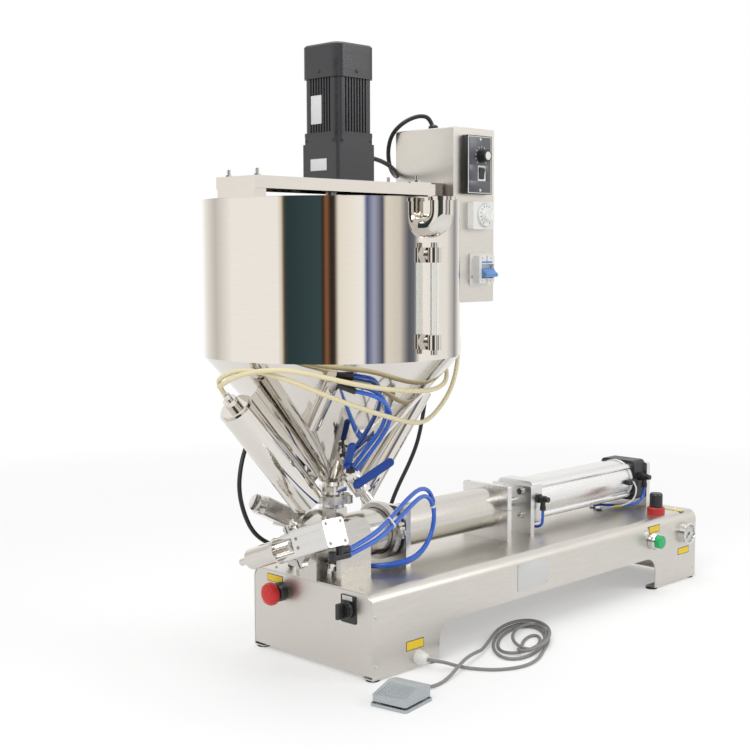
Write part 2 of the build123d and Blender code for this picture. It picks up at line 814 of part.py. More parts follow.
# Nozzle tip: cap with the seat and the spout
with BuildPart() as nozzle_tip:
    add(
        turned(
            nozzle_plane(0),
            [
                (nozzle_bore - fit, seat_start - 6),
                (nozzle_bore - fit, nozzle_front),
                (nozzle_radius, nozzle_front),
                (nozzle_radius, nozzle_front + 3),
                (tip_radius + 1, nozzle_front + 14),
                (tip_radius, nozzle_front + 16),
                (tip_radius, tip_end),
                (tip_bore, tip_end),
                (tip_bore, seat_end),
                (nozzle_bore - 1.5, seat_start),
                (nozzle_bore - 1.5, seat_start - 6),
            ],
        )
    )
nozzle_tip.part.label = "nozzle_tip"
export_step(nozzle_tip.part, "parts/nozzle_tip.step")

# Nozzle cylinder: compact cylinder on two pillars
pillar_radius = 6
pillar_offset = 16
cylinder_near = -95
cylinder_length = 83
cylinder_side = 45
cylinder_bore = 16
cover_thickness = 8
groove_width = 5
groove_depth = 3
with BuildPart() as nozzle_cylinder:
    body_low = nozzle_plane(cylinder_near - cylinder_length + cover_thickness)
    with BuildSketch(body_low):
        RectangleRounded(cylinder_side, cylinder_side, 5)
        Circle(cylinder_bore, mode=Mode.SUBTRACT)
        for turn in range(4):
            with Locations(Location((0, 0, 0), (0, 0, 90 * turn))):
                with Locations(
                    (cylinder_side / 2, cylinder_side / 6), (cylinder_side / 2, -cylinder_side / 6)
                ):
                    Rectangle(2 * groove_depth, groove_width, mode=Mode.SUBTRACT)
    extrude(amount=cylinder_length - 2 * cover_thickness)
    near_cover = nozzle_plane(cylinder_near - cover_thickness)
    with BuildSketch(near_cover):
        RectangleRounded(cylinder_side, cylinder_side, 5)
        Circle(actuator_rod + running_fit, mode=Mode.SUBTRACT)
    extrude(amount=cover_thickness)
    end_cover = nozzle_plane(cylinder_near - cylinder_length)
    with BuildSketch(end_cover):
        RectangleRounded(cylinder_side, cylinder_side, 5)
    extrude(amount=cover_thickness)
    with BuildSketch(end_cover):
        Circle(cylinder_bore + 1)
        Circle(cylinder_bore, mode=Mode.SUBTRACT)
    extrude(amount=1, mode=Mode.SUBTRACT)
    with BuildSketch(end_cover):
        with GridLocations(32, 32, 2, 2):
            Circle(3.2)
    extrude(amount=4, mode=Mode.SUBTRACT)
    for place in (-pillar_offset, pillar_offset):
        foot = nozzle_plane(cylinder_near)
        pillar = Plane(origin=foot.origin + up_way * place, x_dir=foot.x_dir, z_dir=foot.z_dir)
        add(disc(pillar, pillar_radius, nozzle_back - cylinder_near))
nozzle_cylinder.part.label = "nozzle_cylinder"
export_step(nozzle_cylinder.part, "parts/nozzle_cylinder.step")

# Nozzle rod: plug, rod with its lock nut, and piston
nozzle_piston = -140
plug_radius = 9.4
with BuildPart() as nozzle_rod:
    add(
        turned(
            nozzle_plane(0),
            [
                (0, nozzle_piston),
                (cylinder_bore - fit, nozzle_piston),
                (cylinder_bore - fit, nozzle_piston + 10),
                (actuator_rod, nozzle_piston + 10),
                (actuator_rod, seat_start - 3),
                (plug_radius, seat_start + 1),
                (plug_radius, seat_start + 4),
                (3.6, seat_end - 1.2),
                (0, seat_end - 1.2),
            ],
        )
    )
    add(hexagon(nozzle_plane(cylinder_near + 22), 17, 8))
nozzle_rod.part.label = "nozzle_rod"
export_step(nozzle_rod.part, "parts/nozzle_rod.step")

# Hopper jacket: outer wall and cone, closed round the outlet pipe
cone_neck = 25
cone_bottom = 318
lip_thickness = 2
cone_run = hopper_radius - cone_neck
cone_rise = hopper_bottom - cone_bottom
cone_angle = atan2(cone_run, cone_rise)
cone_sheet = shell_sheet / cos(cone_angle)
hopper_axis = level(0, hopper_x)
jacket_top = hopper_rim - lip_thickness
with BuildPart() as hopper_jacket:
    add(
        turned(
            hopper_axis,
            [
                (pipe_radius, cone_bottom),
                (cone_neck, cone_bottom),
                (hopper_radius, hopper_bottom),
                (hopper_radius, jacket_top),
                (hopper_radius - shell_sheet, jacket_top),
                (hopper_radius - shell_sheet, hopper_bottom + 1),
                (cone_neck - cone_sheet + 2, cone_bottom + shell_sheet),
                (pipe_radius, cone_bottom + shell_sheet),
            ],
        )
    )
hopper_jacket.part.label = "hopper_jacket"
export_step(hopper_jacket.part, "parts/hopper_jacket.step")

# Hopper liner: inner wall and cone with the flat lip that closes the jacket
liner_radius = hopper_radius - jacket_gap - shell_sheet
liner_bottom = hopper_bottom + 8
liner_end = liner_bottom - (liner_radius - pipe_radius) / tan(cone_angle)
with BuildPart() as hopper_liner:
    add(
        turned(
            hopper_axis,
            [
                (pipe_radius, liner_end),
                (liner_radius, liner_bottom),
                (liner_radius, jacket_top),
                (hopper_radius, jacket_top),
                (hopper_radius, hopper_rim),
                (liner_radius - shell_sheet, hopper_rim),
                (liner_radius - shell_sheet, liner_bottom + 1),
                (pipe_bore, liner_end + 0.4),
                (pipe_bore, liner_end),
            ],
        )
    )
hopper_liner.part.label = "hopper_liner"
export_step(hopper_liner.part, "parts/hopper_liner.step")

# Outlet column: pipe from the liner to the valve with its flange and coupling nut
column_nut_z = 300
with BuildPart() as outlet_column:
    add(
        turned(
            hopper_axis,
            [
                (pipe_bore, column_joint),
                (small_flange_radius, column_joint),
                (small_flange_radius, column_joint + flange_thickness),
                (pipe_radius, column_joint + flange_thickness),
                (pipe_radius, liner_end),
                (pipe_bore, liner_end),
            ],
        )
    )
    add(hexagon(level(column_nut_z, hopper_x), 44, 9, pipe_radius))
outlet_column.part.label = "outlet_column"
export_step(outlet_column.part, "parts/outlet_column.step")

# Heater tubes: one along each side of the cone, with its end cap, terminal cap and gland
heater_radius = 30
heater_offset = 46
heater_start = 5
heater_length = 230
heater_web = 4
with BuildPart() as heater_tubes:
    for facing in (-1, 1):
        slope = Vector(facing * sin(cone_angle), 0, cos(cone_angle))
        outward = Vector(facing * cos(cone_angle), 0, -sin(cone_angle))
        foot = at(hopper_x + facing * cone_neck, 0, cone_bottom)
        start = foot + slope * heater_start + outward * heater_offset
        tube_plane = along(start, slope, (0, 1, 0))
        add(disc(tube_plane, heater_radius, heater_length))
        add(disc(tube_plane.offset(heater_length), heater_radius - 4, 5))
        add(disc(tube_plane.offset(heater_length + 5), 12, 16))
        add(disc(tube_plane.offset(heater_length + 21), 6, 12))
        web_plane = along(foot + slope * (heater_start + 10) + outward * 0.2, slope, (0, 1, 0))
        web = Plane(
            origin=web_plane.origin + outward * (heater_offset - heater_radius + 1) / 2,
            x_dir=(0, 1, 0),
            z_dir=slope,
        )
        add(block(web, heater_web, heater_offset - heater_radius + 1, heater_length - 20))
heater_tubes.part.label = "heater_tubes"
export_step(heater_tubes.part, "parts/heater_tubes.step")

# Hopper fittings: filler elbow, sight glass sockets, probe and the small valve stub
filler_z = 757
filler_turn = 256
filler_top = 803
glass_y = -240
glass_high = 711
glass_low = 571
knocker_top = at(-86, -150, 505)
knocker_end = at(-58, -74, 430)
knocker_way = (knocker_end - knocker_top).normalized()
knocker_length = (knocker_end - knocker_top).length
knocker_radius = 10
cone_outward_drop = 60
with BuildPart() as hopper_fittings:
    with BuildLine() as filler_route:
        FilletPolyline(
            at(hopper_x, -hopper_radius + 2, filler_z),
            at(hopper_x, -filler_turn, filler_z),
            at(hopper_x, -filler_turn, filler_top),
            radius=24,
        )
    with BuildSketch(side(-hopper_radius + 2, hopper_x, filler_z)):
        Circle(pipe_radius)
        Circle(pipe_bore, mode=Mode.SUBTRACT)
    sweep(path=filler_route.wires()[0])
    add(disc(level(filler_top - 6, hopper_x, -filler_turn), pipe_radius + 3, 6, pipe_bore))
    for z in (glass_high, glass_low):
        add(disc(side(-hopper_radius + 1, hopper_x, z), 9, -glass_y - hopper_radius + 2))
        add(hexagon(side(-hopper_radius + 1, hopper_x, z), 24, 7))
        add(disc(level(z - 12, hopper_x, glass_y), 11, 24))
    add(disc(level(glass_high + 12, hopper_x, glass_y), 6, 8))
    add(disc(level(glass_low - 12, hopper_x, glass_y), 6, -8))
    add(disc(along(knocker_top, knocker_way, (0, 1, 0)), knocker_radius, knocker_length))
    for share in (0.2, 0.8):
        foot = knocker_top + knocker_way * knocker_length * share
        inward = (at(hopper_x, 0, foot.Z - cone_outward_drop) - foot).normalized()
        add(disc(along(foot, inward, knocker_way), 5, 40))
    add(
        turned(
            hopper_axis,
            [
                (0, cone_bottom),
                (cone_neck, cone_bottom),
                (hopper_radius, hopper_bottom),
                (hopper_radius, hopper_rim),
                (0, hopper_rim),
            ],
        ),
        mode=Mode.SUBTRACT,
    )
hopper_fittings.part.label = "hopper_fittings"
export_step(hopper_fittings.part, "parts/hopper_fittings.step")

# Sight glass between the sockets
glass_radius = 7
glass_wall = 1.5
with BuildPart() as sight_glass:
    glass_foot = glass_low + 12
    add(
        disc(
            level(glass_foot, hopper_x, glass_y),
            glass_radius,
            glass_high - 12 - glass_foot,
            glass_radius - glass_wall,
        )
    )
sight_glass.part.label = "sight_glass"
export_step(sight_glass.part, "parts/sight_glass.step")

# Drain and bypass valves on the cone
drain_root = at(47, -40, 348)
drain_end = at(72, -72, 288)
drain_way = (drain_end - drain_root).normalized()
drain_length = (drain_end - drain_root).length
drain_plane = along(drain_root, drain_way, (1, 0, 0))
drain_bore = 6
drain_valve = 36
ball_radius = 15
stem_reach = 21
towards_viewer = Vector(-0.69, -0.7, 0.18)
stem_way = (towards_viewer - drain_way * towards_viewer.dot(drain_way)).normalized()
stem_plane = along(drain_root + drain_way * drain_valve, stem_way, stem_way.cross(drain_way))
bypass_turn = radians(241)
bypass_rise = 60
bypass_ring = cone_neck + bypass_rise * tan(cone_angle)
bypass_out = Vector(cos(bypass_turn), sin(bypass_turn), 0)
bypass_way = bypass_out * cos(cone_angle) - Vector(0, 0, sin(cone_angle))
bypass_foot = at(hopper_x, 0, cone_bottom + bypass_rise) + bypass_out * bypass_ring
bypass_along = bypass_out * sin(cone_angle) + Vector(0, 0, cos(cone_angle))
bypass_plane = along(bypass_foot, bypass_way, bypass_along)
bypass_reach = 24
with BuildPart() as ball_valves:
    add(disc(drain_plane, 9, drain_length))
    add(hexagon(drain_plane.offset(drain_valve - 20), 27, 9))
    add(disc(drain_plane.offset(drain_valve - 12), ball_radius, 24))
    add(hexagon(drain_plane.offset(drain_valve + 11), 27, 9))
    add(disc(drain_plane.offset(drain_length - 12), 11, 12))
    add(disc(stem_plane, 6, stem_reach))
    add(disc(bypass_plane.offset(-1), 8, bypass_reach + 1))
    add(hexagon(bypass_plane.offset(8), 22, 8))
    add(
        turned(
            hopper_axis,
            [
                (0, cone_bottom - 4),
                (cone_neck, cone_bottom - 4),
                (cone_neck, cone_bottom),
                (hopper_radius, hopper_bottom),
                (0, hopper_bottom),
            ],
        ),
        mode=Mode.SUBTRACT,
    )
    with BuildSketch(drain_plane.offset(drain_length)):
        Circle(drain_bore)
    extrude(amount=-24, mode=Mode.SUBTRACT)
ball_valves.part.label = "ball_valves"
export_step(ball_valves.part, "parts/ball_valves.step")

# Valve levers: flat handles on the valve stems
lever_length = 82
lever_width = 15
lever_sheet = 4
short_lever = 62
with BuildPart() as drain_lever:
    lever_plane = stem_plane.offset(stem_reach + fit)
    with BuildSketch(lever_plane):
        with Locations((lever_length / 2 - 8, 0)):
            SlotOverall(lever_length, lever_width)
    extrude(amount=lever_sheet)
    add(hexagon(lever_plane.offset(lever_sheet), 10, 4))
drain_lever.part.label = "drain_lever"
export_step(drain_lever.part, "parts/drain_lever.step")

with BuildPart() as bypass_lever:
    bypass_hub = bypass_plane.offset(bypass_reach + fit)
    with BuildSketch(bypass_hub):
        with Locations((short_lever / 2 - 7, 0)):
            SlotOverall(short_lever, lever_width - 2)
    extrude(amount=lever_sheet)
    add(hexagon(bypass_hub.offset(lever_sheet), 9, 4))
bypass_lever.part.label = "bypass_lever"
export_step(bypass_lever.part, "parts/bypass_lever.step")

# Crossbar over the hopper with its two end blocks and the foot of the control box
crossbar_start = -156
crossbar_end = 285
crossbar_width = 100
crossbar_drop = 20
rest_length = 24
shaft_radius = 10
box_front = 290
box_rear = 404
box_width = 144
box_bottom = 624
box_top = 942
box_sheet = 1.5
foot_start = 205
with BuildPart() as crossbar:
    with BuildSketch(station(crossbar_start)):
        with Locations((0, crossbar_top - crossbar_drop / 2)):
            Rectangle(crossbar_width, crossbar_drop)
        with Locations((0, crossbar_top - crossbar_sheet - crossbar_drop / 2)):
            Rectangle(crossbar_width - 2 * crossbar_sheet, crossbar_drop, mode=Mode.SUBTRACT)
    extrude(amount=crossbar_end - crossbar_start)
    for x in (crossbar_start, crossbar_end - rest_length - 12):
        with BuildSketch(station(x)):
            with Locations((0, (crossbar_top + hopper_rim) / 2 - 1)):
                Rectangle(crossbar_width - 2 * crossbar_sheet, crossbar_top - hopper_rim - 2)
        extrude(amount=rest_length)
    with BuildSketch(level(hopper_rim - 1, hopper_x)):
        Circle(shaft_radius + running_fit)
    extrude(amount=crossbar_top, mode=Mode.SUBTRACT)
    with BuildSketch(level(crossbar_top, (foot_start + box_front) / 2)):
        Rectangle(box_front - foot_start, crossbar_width - 10)
    extrude(amount=crossbar_sheet)
    with BuildSketch(station(box_front)):
        with Locations((0, crossbar_top + crossbar_sheet - 40)):
            Rectangle(crossbar_width - 10, 80)
    extrude(amount=-crossbar_sheet)
crossbar.part.label = "crossbar"
export_step(crossbar.part, "parts/crossbar.step")

# Gearbox on the crossbar
gearbox_x = 72.5
gearbox_side = 90
gearbox_top = 912
with BuildPart() as gearbox:
    with BuildSketch(level(crossbar_top, gearbox_x)):
        RectangleRounded(gearbox_side, gearbox_side, 6)
        with GridLocations(gearbox_side - 16, gearbox_side - 16, 2, 2):
            Circle(3.3, mode=Mode.SUBTRACT)
    extrude(amount=gearbox_top - crossbar_top - 12)
    with BuildSketch(level(gearbox_top - 12, gearbox_x)):
        RectangleRounded(gearbox_side, gearbox_side, 14)
    extrude(amount=12)
    with BuildSketch(level(crossbar_top, hopper_x)):
        Circle(shaft_radius + running_fit)
    extrude(amount=30, mode=Mode.SUBTRACT)
gearbox.part.label = "gearbox"
export_step(gearbox.part, "parts/gearbox.step")

# Motor body with the fan cover on top
motor_top = gearbox_top + 98
fan_top = motor_top + 57
motor_side = 85
motor_corner = 13
motor_flange = 7
cooling_ribs = 8
rib_spacing = 6.6
rib_gap = 3.2
rib_depth = 3.5
fan_side = 92
fan_corner = 16
with BuildPart() as motor_body:
    with BuildSketch(level(gearbox_top, gearbox_x)):
        RectangleRounded(gearbox_side, gearbox_side, motor_corner)
    extrude(amount=motor_flange)
    with BuildSketch(level(gearbox_top + motor_flange, gearbox_x)):
        RectangleRounded(motor_side, motor_side, motor_corner)
        with PolarLocations(motor_side / 2, 4):
            with GridLocations(1, rib_spacing, 1, cooling_ribs):
                Rectangle(2 * rib_depth, rib_gap, mode=Mode.SUBTRACT)
    extrude(amount=motor_top - gearbox_top - motor_flange)
    with BuildSketch(level(motor_top, gearbox_x)):
        RectangleRounded(fan_side, fan_side, fan_corner)
    extrude(amount=fan_top - motor_top)
    chamfer(motor_body.faces().sort_by(Axis.Z)[-1].edges(), 3)
motor_body.part.label = "motor_body"
export_step(motor_body.part, "parts/motor_body.step")

# Agitator: shaft with two tiers of blades and a scraper bar
shaft_bottom = 430
blade_tiers = ((600, 150, 30), (480, 90, 26))
blade_thickness = 4
with BuildPart() as agitator:
    add(disc(level(shaft_bottom, hopper_x), shaft_radius, crossbar_top + 28 - shaft_bottom))
    for tier, (blade_z, blade_reach, blade_width) in enumerate(blade_tiers):
        turn = radians(90 * tier + 25)
        span = Vector(cos(turn), sin(turn), 0)
        across = Vector(-sin(turn), cos(turn), 0)
        for facing in (-1, 1):
            face = Plane(
                origin=at(hopper_x, 0, blade_z) + span * facing * (shaft_radius - 2),
                x_dir=(across * 0.7 * facing + Vector(0, 0, 0.7)).normalized(),
                z_dir=span * facing,
            )
            add(block(face, blade_width, blade_thickness, blade_reach - shaft_radius + 2))
        add(disc(level(blade_z - 14, hopper_x), 16, 28))
agitator.part.label = "agitator"
export_step(agitator.part, "parts/agitator.step")

# Control box: folded sheet case, with a hole for the cables in its bottom
cable_hole = 40
with BuildPart() as control_box:
    with BuildSketch(side(-box_width / 2)) as case:
        with Locations(((box_front + box_rear) / 2, (box_bottom + box_top) / 2)):
            Rectangle(box_rear - box_front, box_top - box_bottom)
        fillet(case.vertices(), 3)
    extrude(amount=-box_width)
    with BuildSketch(side(-box_width / 2 + box_sheet)):
        with Locations(((box_front + box_rear) / 2, (box_bottom + box_top) / 2)):
            Rectangle(
                box_rear - box_front - 2 * box_sheet, box_top - box_bottom - 2 * box_sheet
            )
    extrude(amount=-box_width + 2 * box_sheet, mode=Mode.SUBTRACT)
    with BuildSketch(level(box_bottom - 1, (box_front + box_rear) / 2)):
        Circle(cable_hole)
    extrude(amount=3 * box_sheet, mode=Mode.SUBTRACT)
control_box.part.label = "control_box"
export_step(control_box.part, "parts/control_box.step")

# Panel modules on the near face of the box: speed controller, thermostat and breaker
box_face = -box_width / 2
speed_frame = (316, 382, 823, 927, 12)
thermostat_frame = (330, 386, 758, 808, 14)
breaker_plate = (335, 394, 655, 714, 2)
breaker_body = (345, 388, 659, 710, 16)
toggle_x = 369
toggle_z = 681
toggle_half = 16.5
with BuildPart() as panel_modules:
    for left, right, low, high, deep in (
        speed_frame,
        thermostat_frame,
        breaker_plate,
        breaker_body,
    ):
        place = side(box_face, (left + right) / 2, (low + high) / 2)
        add(block(place, right - left, high - low, deep, 2))
    with BuildSketch(side(box_face - speed_frame[4], 354, 860)):
        Rectangle(15 + 2 * fit, 21 + 2 * fit)
    extrude(amount=-9, mode=Mode.SUBTRACT)
    with BuildSketch(side(box_face - breaker_body[4], toggle_x, toggle_z)):
        Rectangle(2 * toggle_half + 1, 26)
    extrude(amount=-8, mode=Mode.SUBTRACT)
panel_modules.part.label = "panel_modules"
export_step(panel_modules.part, "parts/panel_modules.step")

# Speed knob
speed_knob_x = 353
speed_knob_z = 891
with BuildPart() as speed_knob:
    knob_plane = side(box_face - speed_frame[4] - fit, speed_knob_x, speed_knob_z)
    add(disc(knob_plane, 13, 3))
    add(disc(knob_plane, 10.5, 16))
    with BuildSketch(knob_plane.offset(15)):
        with Locations((0, 6)):
            Rectangle(1.5, 9)
    extrude(amount=2, mode=Mode.SUBTRACT)
speed_knob.part.label = "speed_knob"
export_step(speed_knob.part, "parts/speed_knob.step")

# Speed controller's rocker switch
rocker_x = 354
rocker_z = 860
rocker_half = 7.2
rocker_pivot = 2
with BuildPart() as speed_rocker:
    rocker_side = station(rocker_x - rocker_half, box_face - speed_frame[4], rocker_z)
    with BuildSketch(rocker_side):
        with BuildLine():
            Polyline((6, 7), (-1, 9.5), (-3.4, 8), (-1.4, -1), (-0.6, -9.5), (6, -7), close=True)
        make_face()
        with Locations((rocker_pivot, 0)):
            Circle(1.2, mode=Mode.SUBTRACT)
    extrude(amount=2 * rocker_half)
speed_rocker.part.label = "speed_rocker"
export_step(speed_rocker.part, "parts/speed_rocker.step")

# Thermostat dial
dial_x = 362
dial_z = 784
with BuildPart() as thermostat_dial:
    dial_plane = side(box_face - thermostat_frame[4] - fit, dial_x, dial_z)
    add(disc(dial_plane, 20, 4))
    add(disc(dial_plane, 11, 13))
    add(block(dial_plane.offset(13), 5, 20, 4, 1.5))
thermostat_dial.part.label = "thermostat_dial"
export_step(thermostat_dial.part, "parts/thermostat_dial.step")

# Breaker toggle
with BuildPart() as breaker_toggle:
    toggle_side = station(toggle_x - toggle_half, box_face - breaker_body[4] + 2, toggle_z)
    with BuildSketch(toggle_side):
        Circle(5.5)
        with BuildLine():
            Polyline((0, 5), (-13, -5), (-13, -9), (-9, -11), (0, -5), close=True)
        make_face()
    extrude(amount=2 * toggle_half)
breaker_toggle.part.label = "breaker_toggle"
export_step(breaker_toggle.part, "parts/breaker_toggle.step")

# Panel fittings of the base: emergency stop collar, selector plate, button bezel, gland, grommets
gland_x = 112
gland_z = 20
grommet_radius = 7
grommet_height = 2
grommets = ((870, 24), (857, -2), (45, 100), (288, 100), (102, 4), (592, -4))
with BuildPart() as panel_fittings:
    stop_plane = Plane(origin=at(0, stop_y, stop_z), x_dir=(0, -1, 0), z_dir=(-1, 0, 0))
    selector_plane = Plane(origin=at(0, selector_y, selector_z), x_dir=(0, -1, 0), z_dir=(-1, 0, 0))
    add(turned(stop_plane, [(8.05, 0), (17, 0), (17, 10), (14, 14), (8.05, 14)]))
    add(block(selector_plane, 36, 48, 2, 2))
    add(turned(selector_plane, [(9, 2), (15, 2), (15, 6), (12.5, 9), (9, 9)]))
    start_plane = side(-half_width, start_x, start_z)
    add(turned(start_plane, [(14.05, 0), (18, 0), (18, 12), (16, 15), (14.05, 15)]))
    gland_plane = side(-half_width, gland_x, gland_z)
    add(hexagon(gland_plane, 22, 7))
    add(turned(gland_plane, [(0, 7), (10, 7), (10, 15), (6, 22), (0, 22)]))
    for x, y in grommets:
        add(disc(level(base_top, x, y), grommet_radius, grommet_height))
    add(disc(level(base_top, 90, 2), grommet_radius - 1, grommet_height))
panel_fittings.part.label = "panel_fittings"
export_step(panel_fittings.part, "parts/panel_fittings.step")

# Emergency stop head
with BuildPart() as estop_head:
    add(
        turned(
            stop_plane,
            [
                (0, 1),
                (8, 1),
                (8, 20),
                (12, 21),
                (20.5, 23),
                (20.5, 29),
                (18, 34),
                (12, 37),
                (0, 38),
            ],
        )
    )
estop_head.part.label = "estop_head"
export_step(estop_head.part, "parts/estop_head.step")

# Selector knob
with BuildPart() as selector_knob:
    add(disc(selector_plane.offset(2 + fit), 8.7, 9))
    add(disc(selector_plane.offset(9 + 1), 12.5, 5))
    add(block(selector_plane.offset(15), 8, 27, 13, 2))
selector_knob.part.label = "selector_knob"
export_step(selector_knob.part, "parts/selector_knob.step")

# Start button
with BuildPart() as start_button:
    add(turned(start_plane, [(0, 1), (14, 1), (14, 24), (12.5, 25.5), (0, 26)]))
start_button.part.label = "start_button"
export_step(start_button.part, "parts/start_button.step")

# Pressure gauge: case with its bezel and the needle under the glass
gauge_x = base_length - 43
gauge_z = 105
gauge_radius = 21
gauge_plane = side(-half_width, gauge_x, gauge_z)
with BuildPart() as pressure_gauge:
    add(
        turned(
            gauge_plane,
            [
                (0, 0),
                (gauge_radius + 2, 0),
                (gauge_radius + 2, 3),
                (gauge_radius, 8),
                (gauge_radius, 13),
                (gauge_radius - 3, 13),
                (gauge_radius - 3, 9),
                (0, 9),
            ],
        )
    )
pressure_gauge.part.label = "pressure_gauge"
export_step(pressure_gauge.part, "parts/pressure_gauge.step")

needle_turn = 135
with BuildPart() as gauge_needle:
    needle_plane = gauge_plane.offset(9 + fit)
    with BuildSketch(needle_plane):
        Circle(2.4)
        with Locations(Location((0, 0, 0), (0, 0, needle_turn))):
            with Locations((0, 5)):
                Rectangle(1, 18)
    extrude(amount=1)
gauge_needle.part.label = "gauge_needle"
export_step(gauge_needle.part, "parts/gauge_needle.step")

# Regulator on the top with its knob
regulator_x = base_length - 103
regulator_y = -116
with BuildPart() as regulator_body:
    add(
        turned(
            level(base_top, regulator_x, regulator_y),
            [(0, 0), (19, 0), (19, 14), (17, 16), (8, 16), (8, 20), (0, 20)],
        )
    )
regulator_body.part.label = "regulator_body"
export_step(regulator_body.part, "parts/regulator_body.step")

with BuildPart() as regulator_knob:
    add(
        turned(
            level(base_top + 16 + fit, regulator_x, regulator_y),
            [(8 + fit, 0), (14, 0), (14, 26), (12, 30), (0, 31), (0, 5), (8 + fit, 5)],
        )
    )
regulator_knob.part.label = "regulator_knob"
export_step(regulator_knob.part, "parts/regulator_knob.step")

# Cylinder fittings: flow controls, elbows and the reed switch on the barrel
flow_front_x = 584
flow_rear_x = 952
flow_rise = 8
switch_x = 912
with BuildPart() as cylinder_fittings:
    for x in (flow_front_x, flow_rear_x):
        head = side(-air_cap_side / 2, x, axis_height + flow_rise)
        add(hexagon(head, 17, 6))
        add(disc(head.offset(6), 7, 13))
        add(disc(head.offset(19), 5.5, 8))
        drop = level(axis_height + flow_rise, x, -air_cap_side / 2 - 12.5)
        add(disc(drop, 5, -16))
        add(disc(drop.offset(-14), 6, -9))
    switch_plane = side(-air_bore - barrel_wall - 1, switch_x, axis_height)
    add(block(switch_plane, 28, 11, 9, 2))
cylinder_fittings.part.label = "cylinder_fittings"
export_step(cylinder_fittings.part, "parts/cylinder_fittings.step")

# Foot pedal: a tray on the floor and the ribbed hood that tips on a pin in it
pedal_x = -34
pedal_y = -251
pedal_turn = radians(10)
pedal_length = 79
pedal_width = 70
pedal_rim = 5
pedal_floor = 2
pedal_corner = 6
hood_gap = 0.6
hood_half_width = pedal_width / 2 - pedal_floor - hood_gap
hood_wall = 2.5
hood_bottom = 8
hood_lip = 17.5
hood_ridge = 30
hood_rear = 27
ridge_place = 12
pin_place = 30
pin_z = 13
pin_radius = 2.5
ear_place = 19
ear_thickness = 4
ear_length = 8
rib_count = 12
rib_pitch = 4.6
rib_width = 1.8
rib_height = 1
pedal_along = Vector(cos(pedal_turn), sin(pedal_turn), 0)
pedal_across = Vector(-sin(pedal_turn), cos(pedal_turn), 0)
pedal_plane = Plane(origin=at(pedal_x, pedal_y, 0), x_dir=pedal_along, z_dir=(0, 0, 1))
rear_opening = 13
bush_z = 10
with BuildPart() as pedal_base:
    add(block(pedal_plane, pedal_length, pedal_width, pedal_rim, pedal_corner))
    add(
        block(
            pedal_plane.offset(pedal_floor),
            pedal_length - 2 * pedal_floor,
            pedal_width - 2 * pedal_floor,
            pedal_rim,
            pedal_corner - pedal_floor,
        ),
        mode=Mode.SUBTRACT,
    )
    rear_wall = Plane(
        origin=pedal_plane.origin + pedal_along * (pedal_length / 2 - pedal_floor),
        x_dir=pedal_across,
        z_dir=pedal_along,
    )
    with BuildSketch(rear_wall):
        with Locations((0, bush_z)):
            Rectangle(2 * rear_opening - 3, 2 * bush_z - 2)
    extrude(amount=pedal_floor)
    bush_plane = Plane(
        origin=rear_wall.origin + Vector(0, 0, bush_z) + pedal_along * pedal_floor,
        x_dir=pedal_across,
        z_dir=pedal_along,
    )
    add(turned(bush_plane, [(0, 0), (6, 0), (6, 3), (4.2, 12), (0, 12)]))
    for facing in (-1, 1):
        ear = pedal_plane.offset(pedal_floor).origin + pedal_along * pin_place
        ear = ear + pedal_across * facing * ear_place
        ear_plane = Plane(origin=ear, x_dir=pedal_along, z_dir=(0, 0, 1))
        add(block(ear_plane, ear_length, ear_thickness, pin_z + 4 - pedal_floor))
    pin_start = pedal_plane.origin + pedal_along * pin_place - pedal_across * hood_half_width
    pin_plane = Plane(
        origin=pin_start + Vector(0, 0, pin_z), x_dir=pedal_along, z_dir=pedal_across
    )
    add(disc(pin_plane, pin_radius, 2 * hood_half_width))
pedal_base.part.label = "pedal_base"
export_step(pedal_base.part, "parts/pedal_base.step")

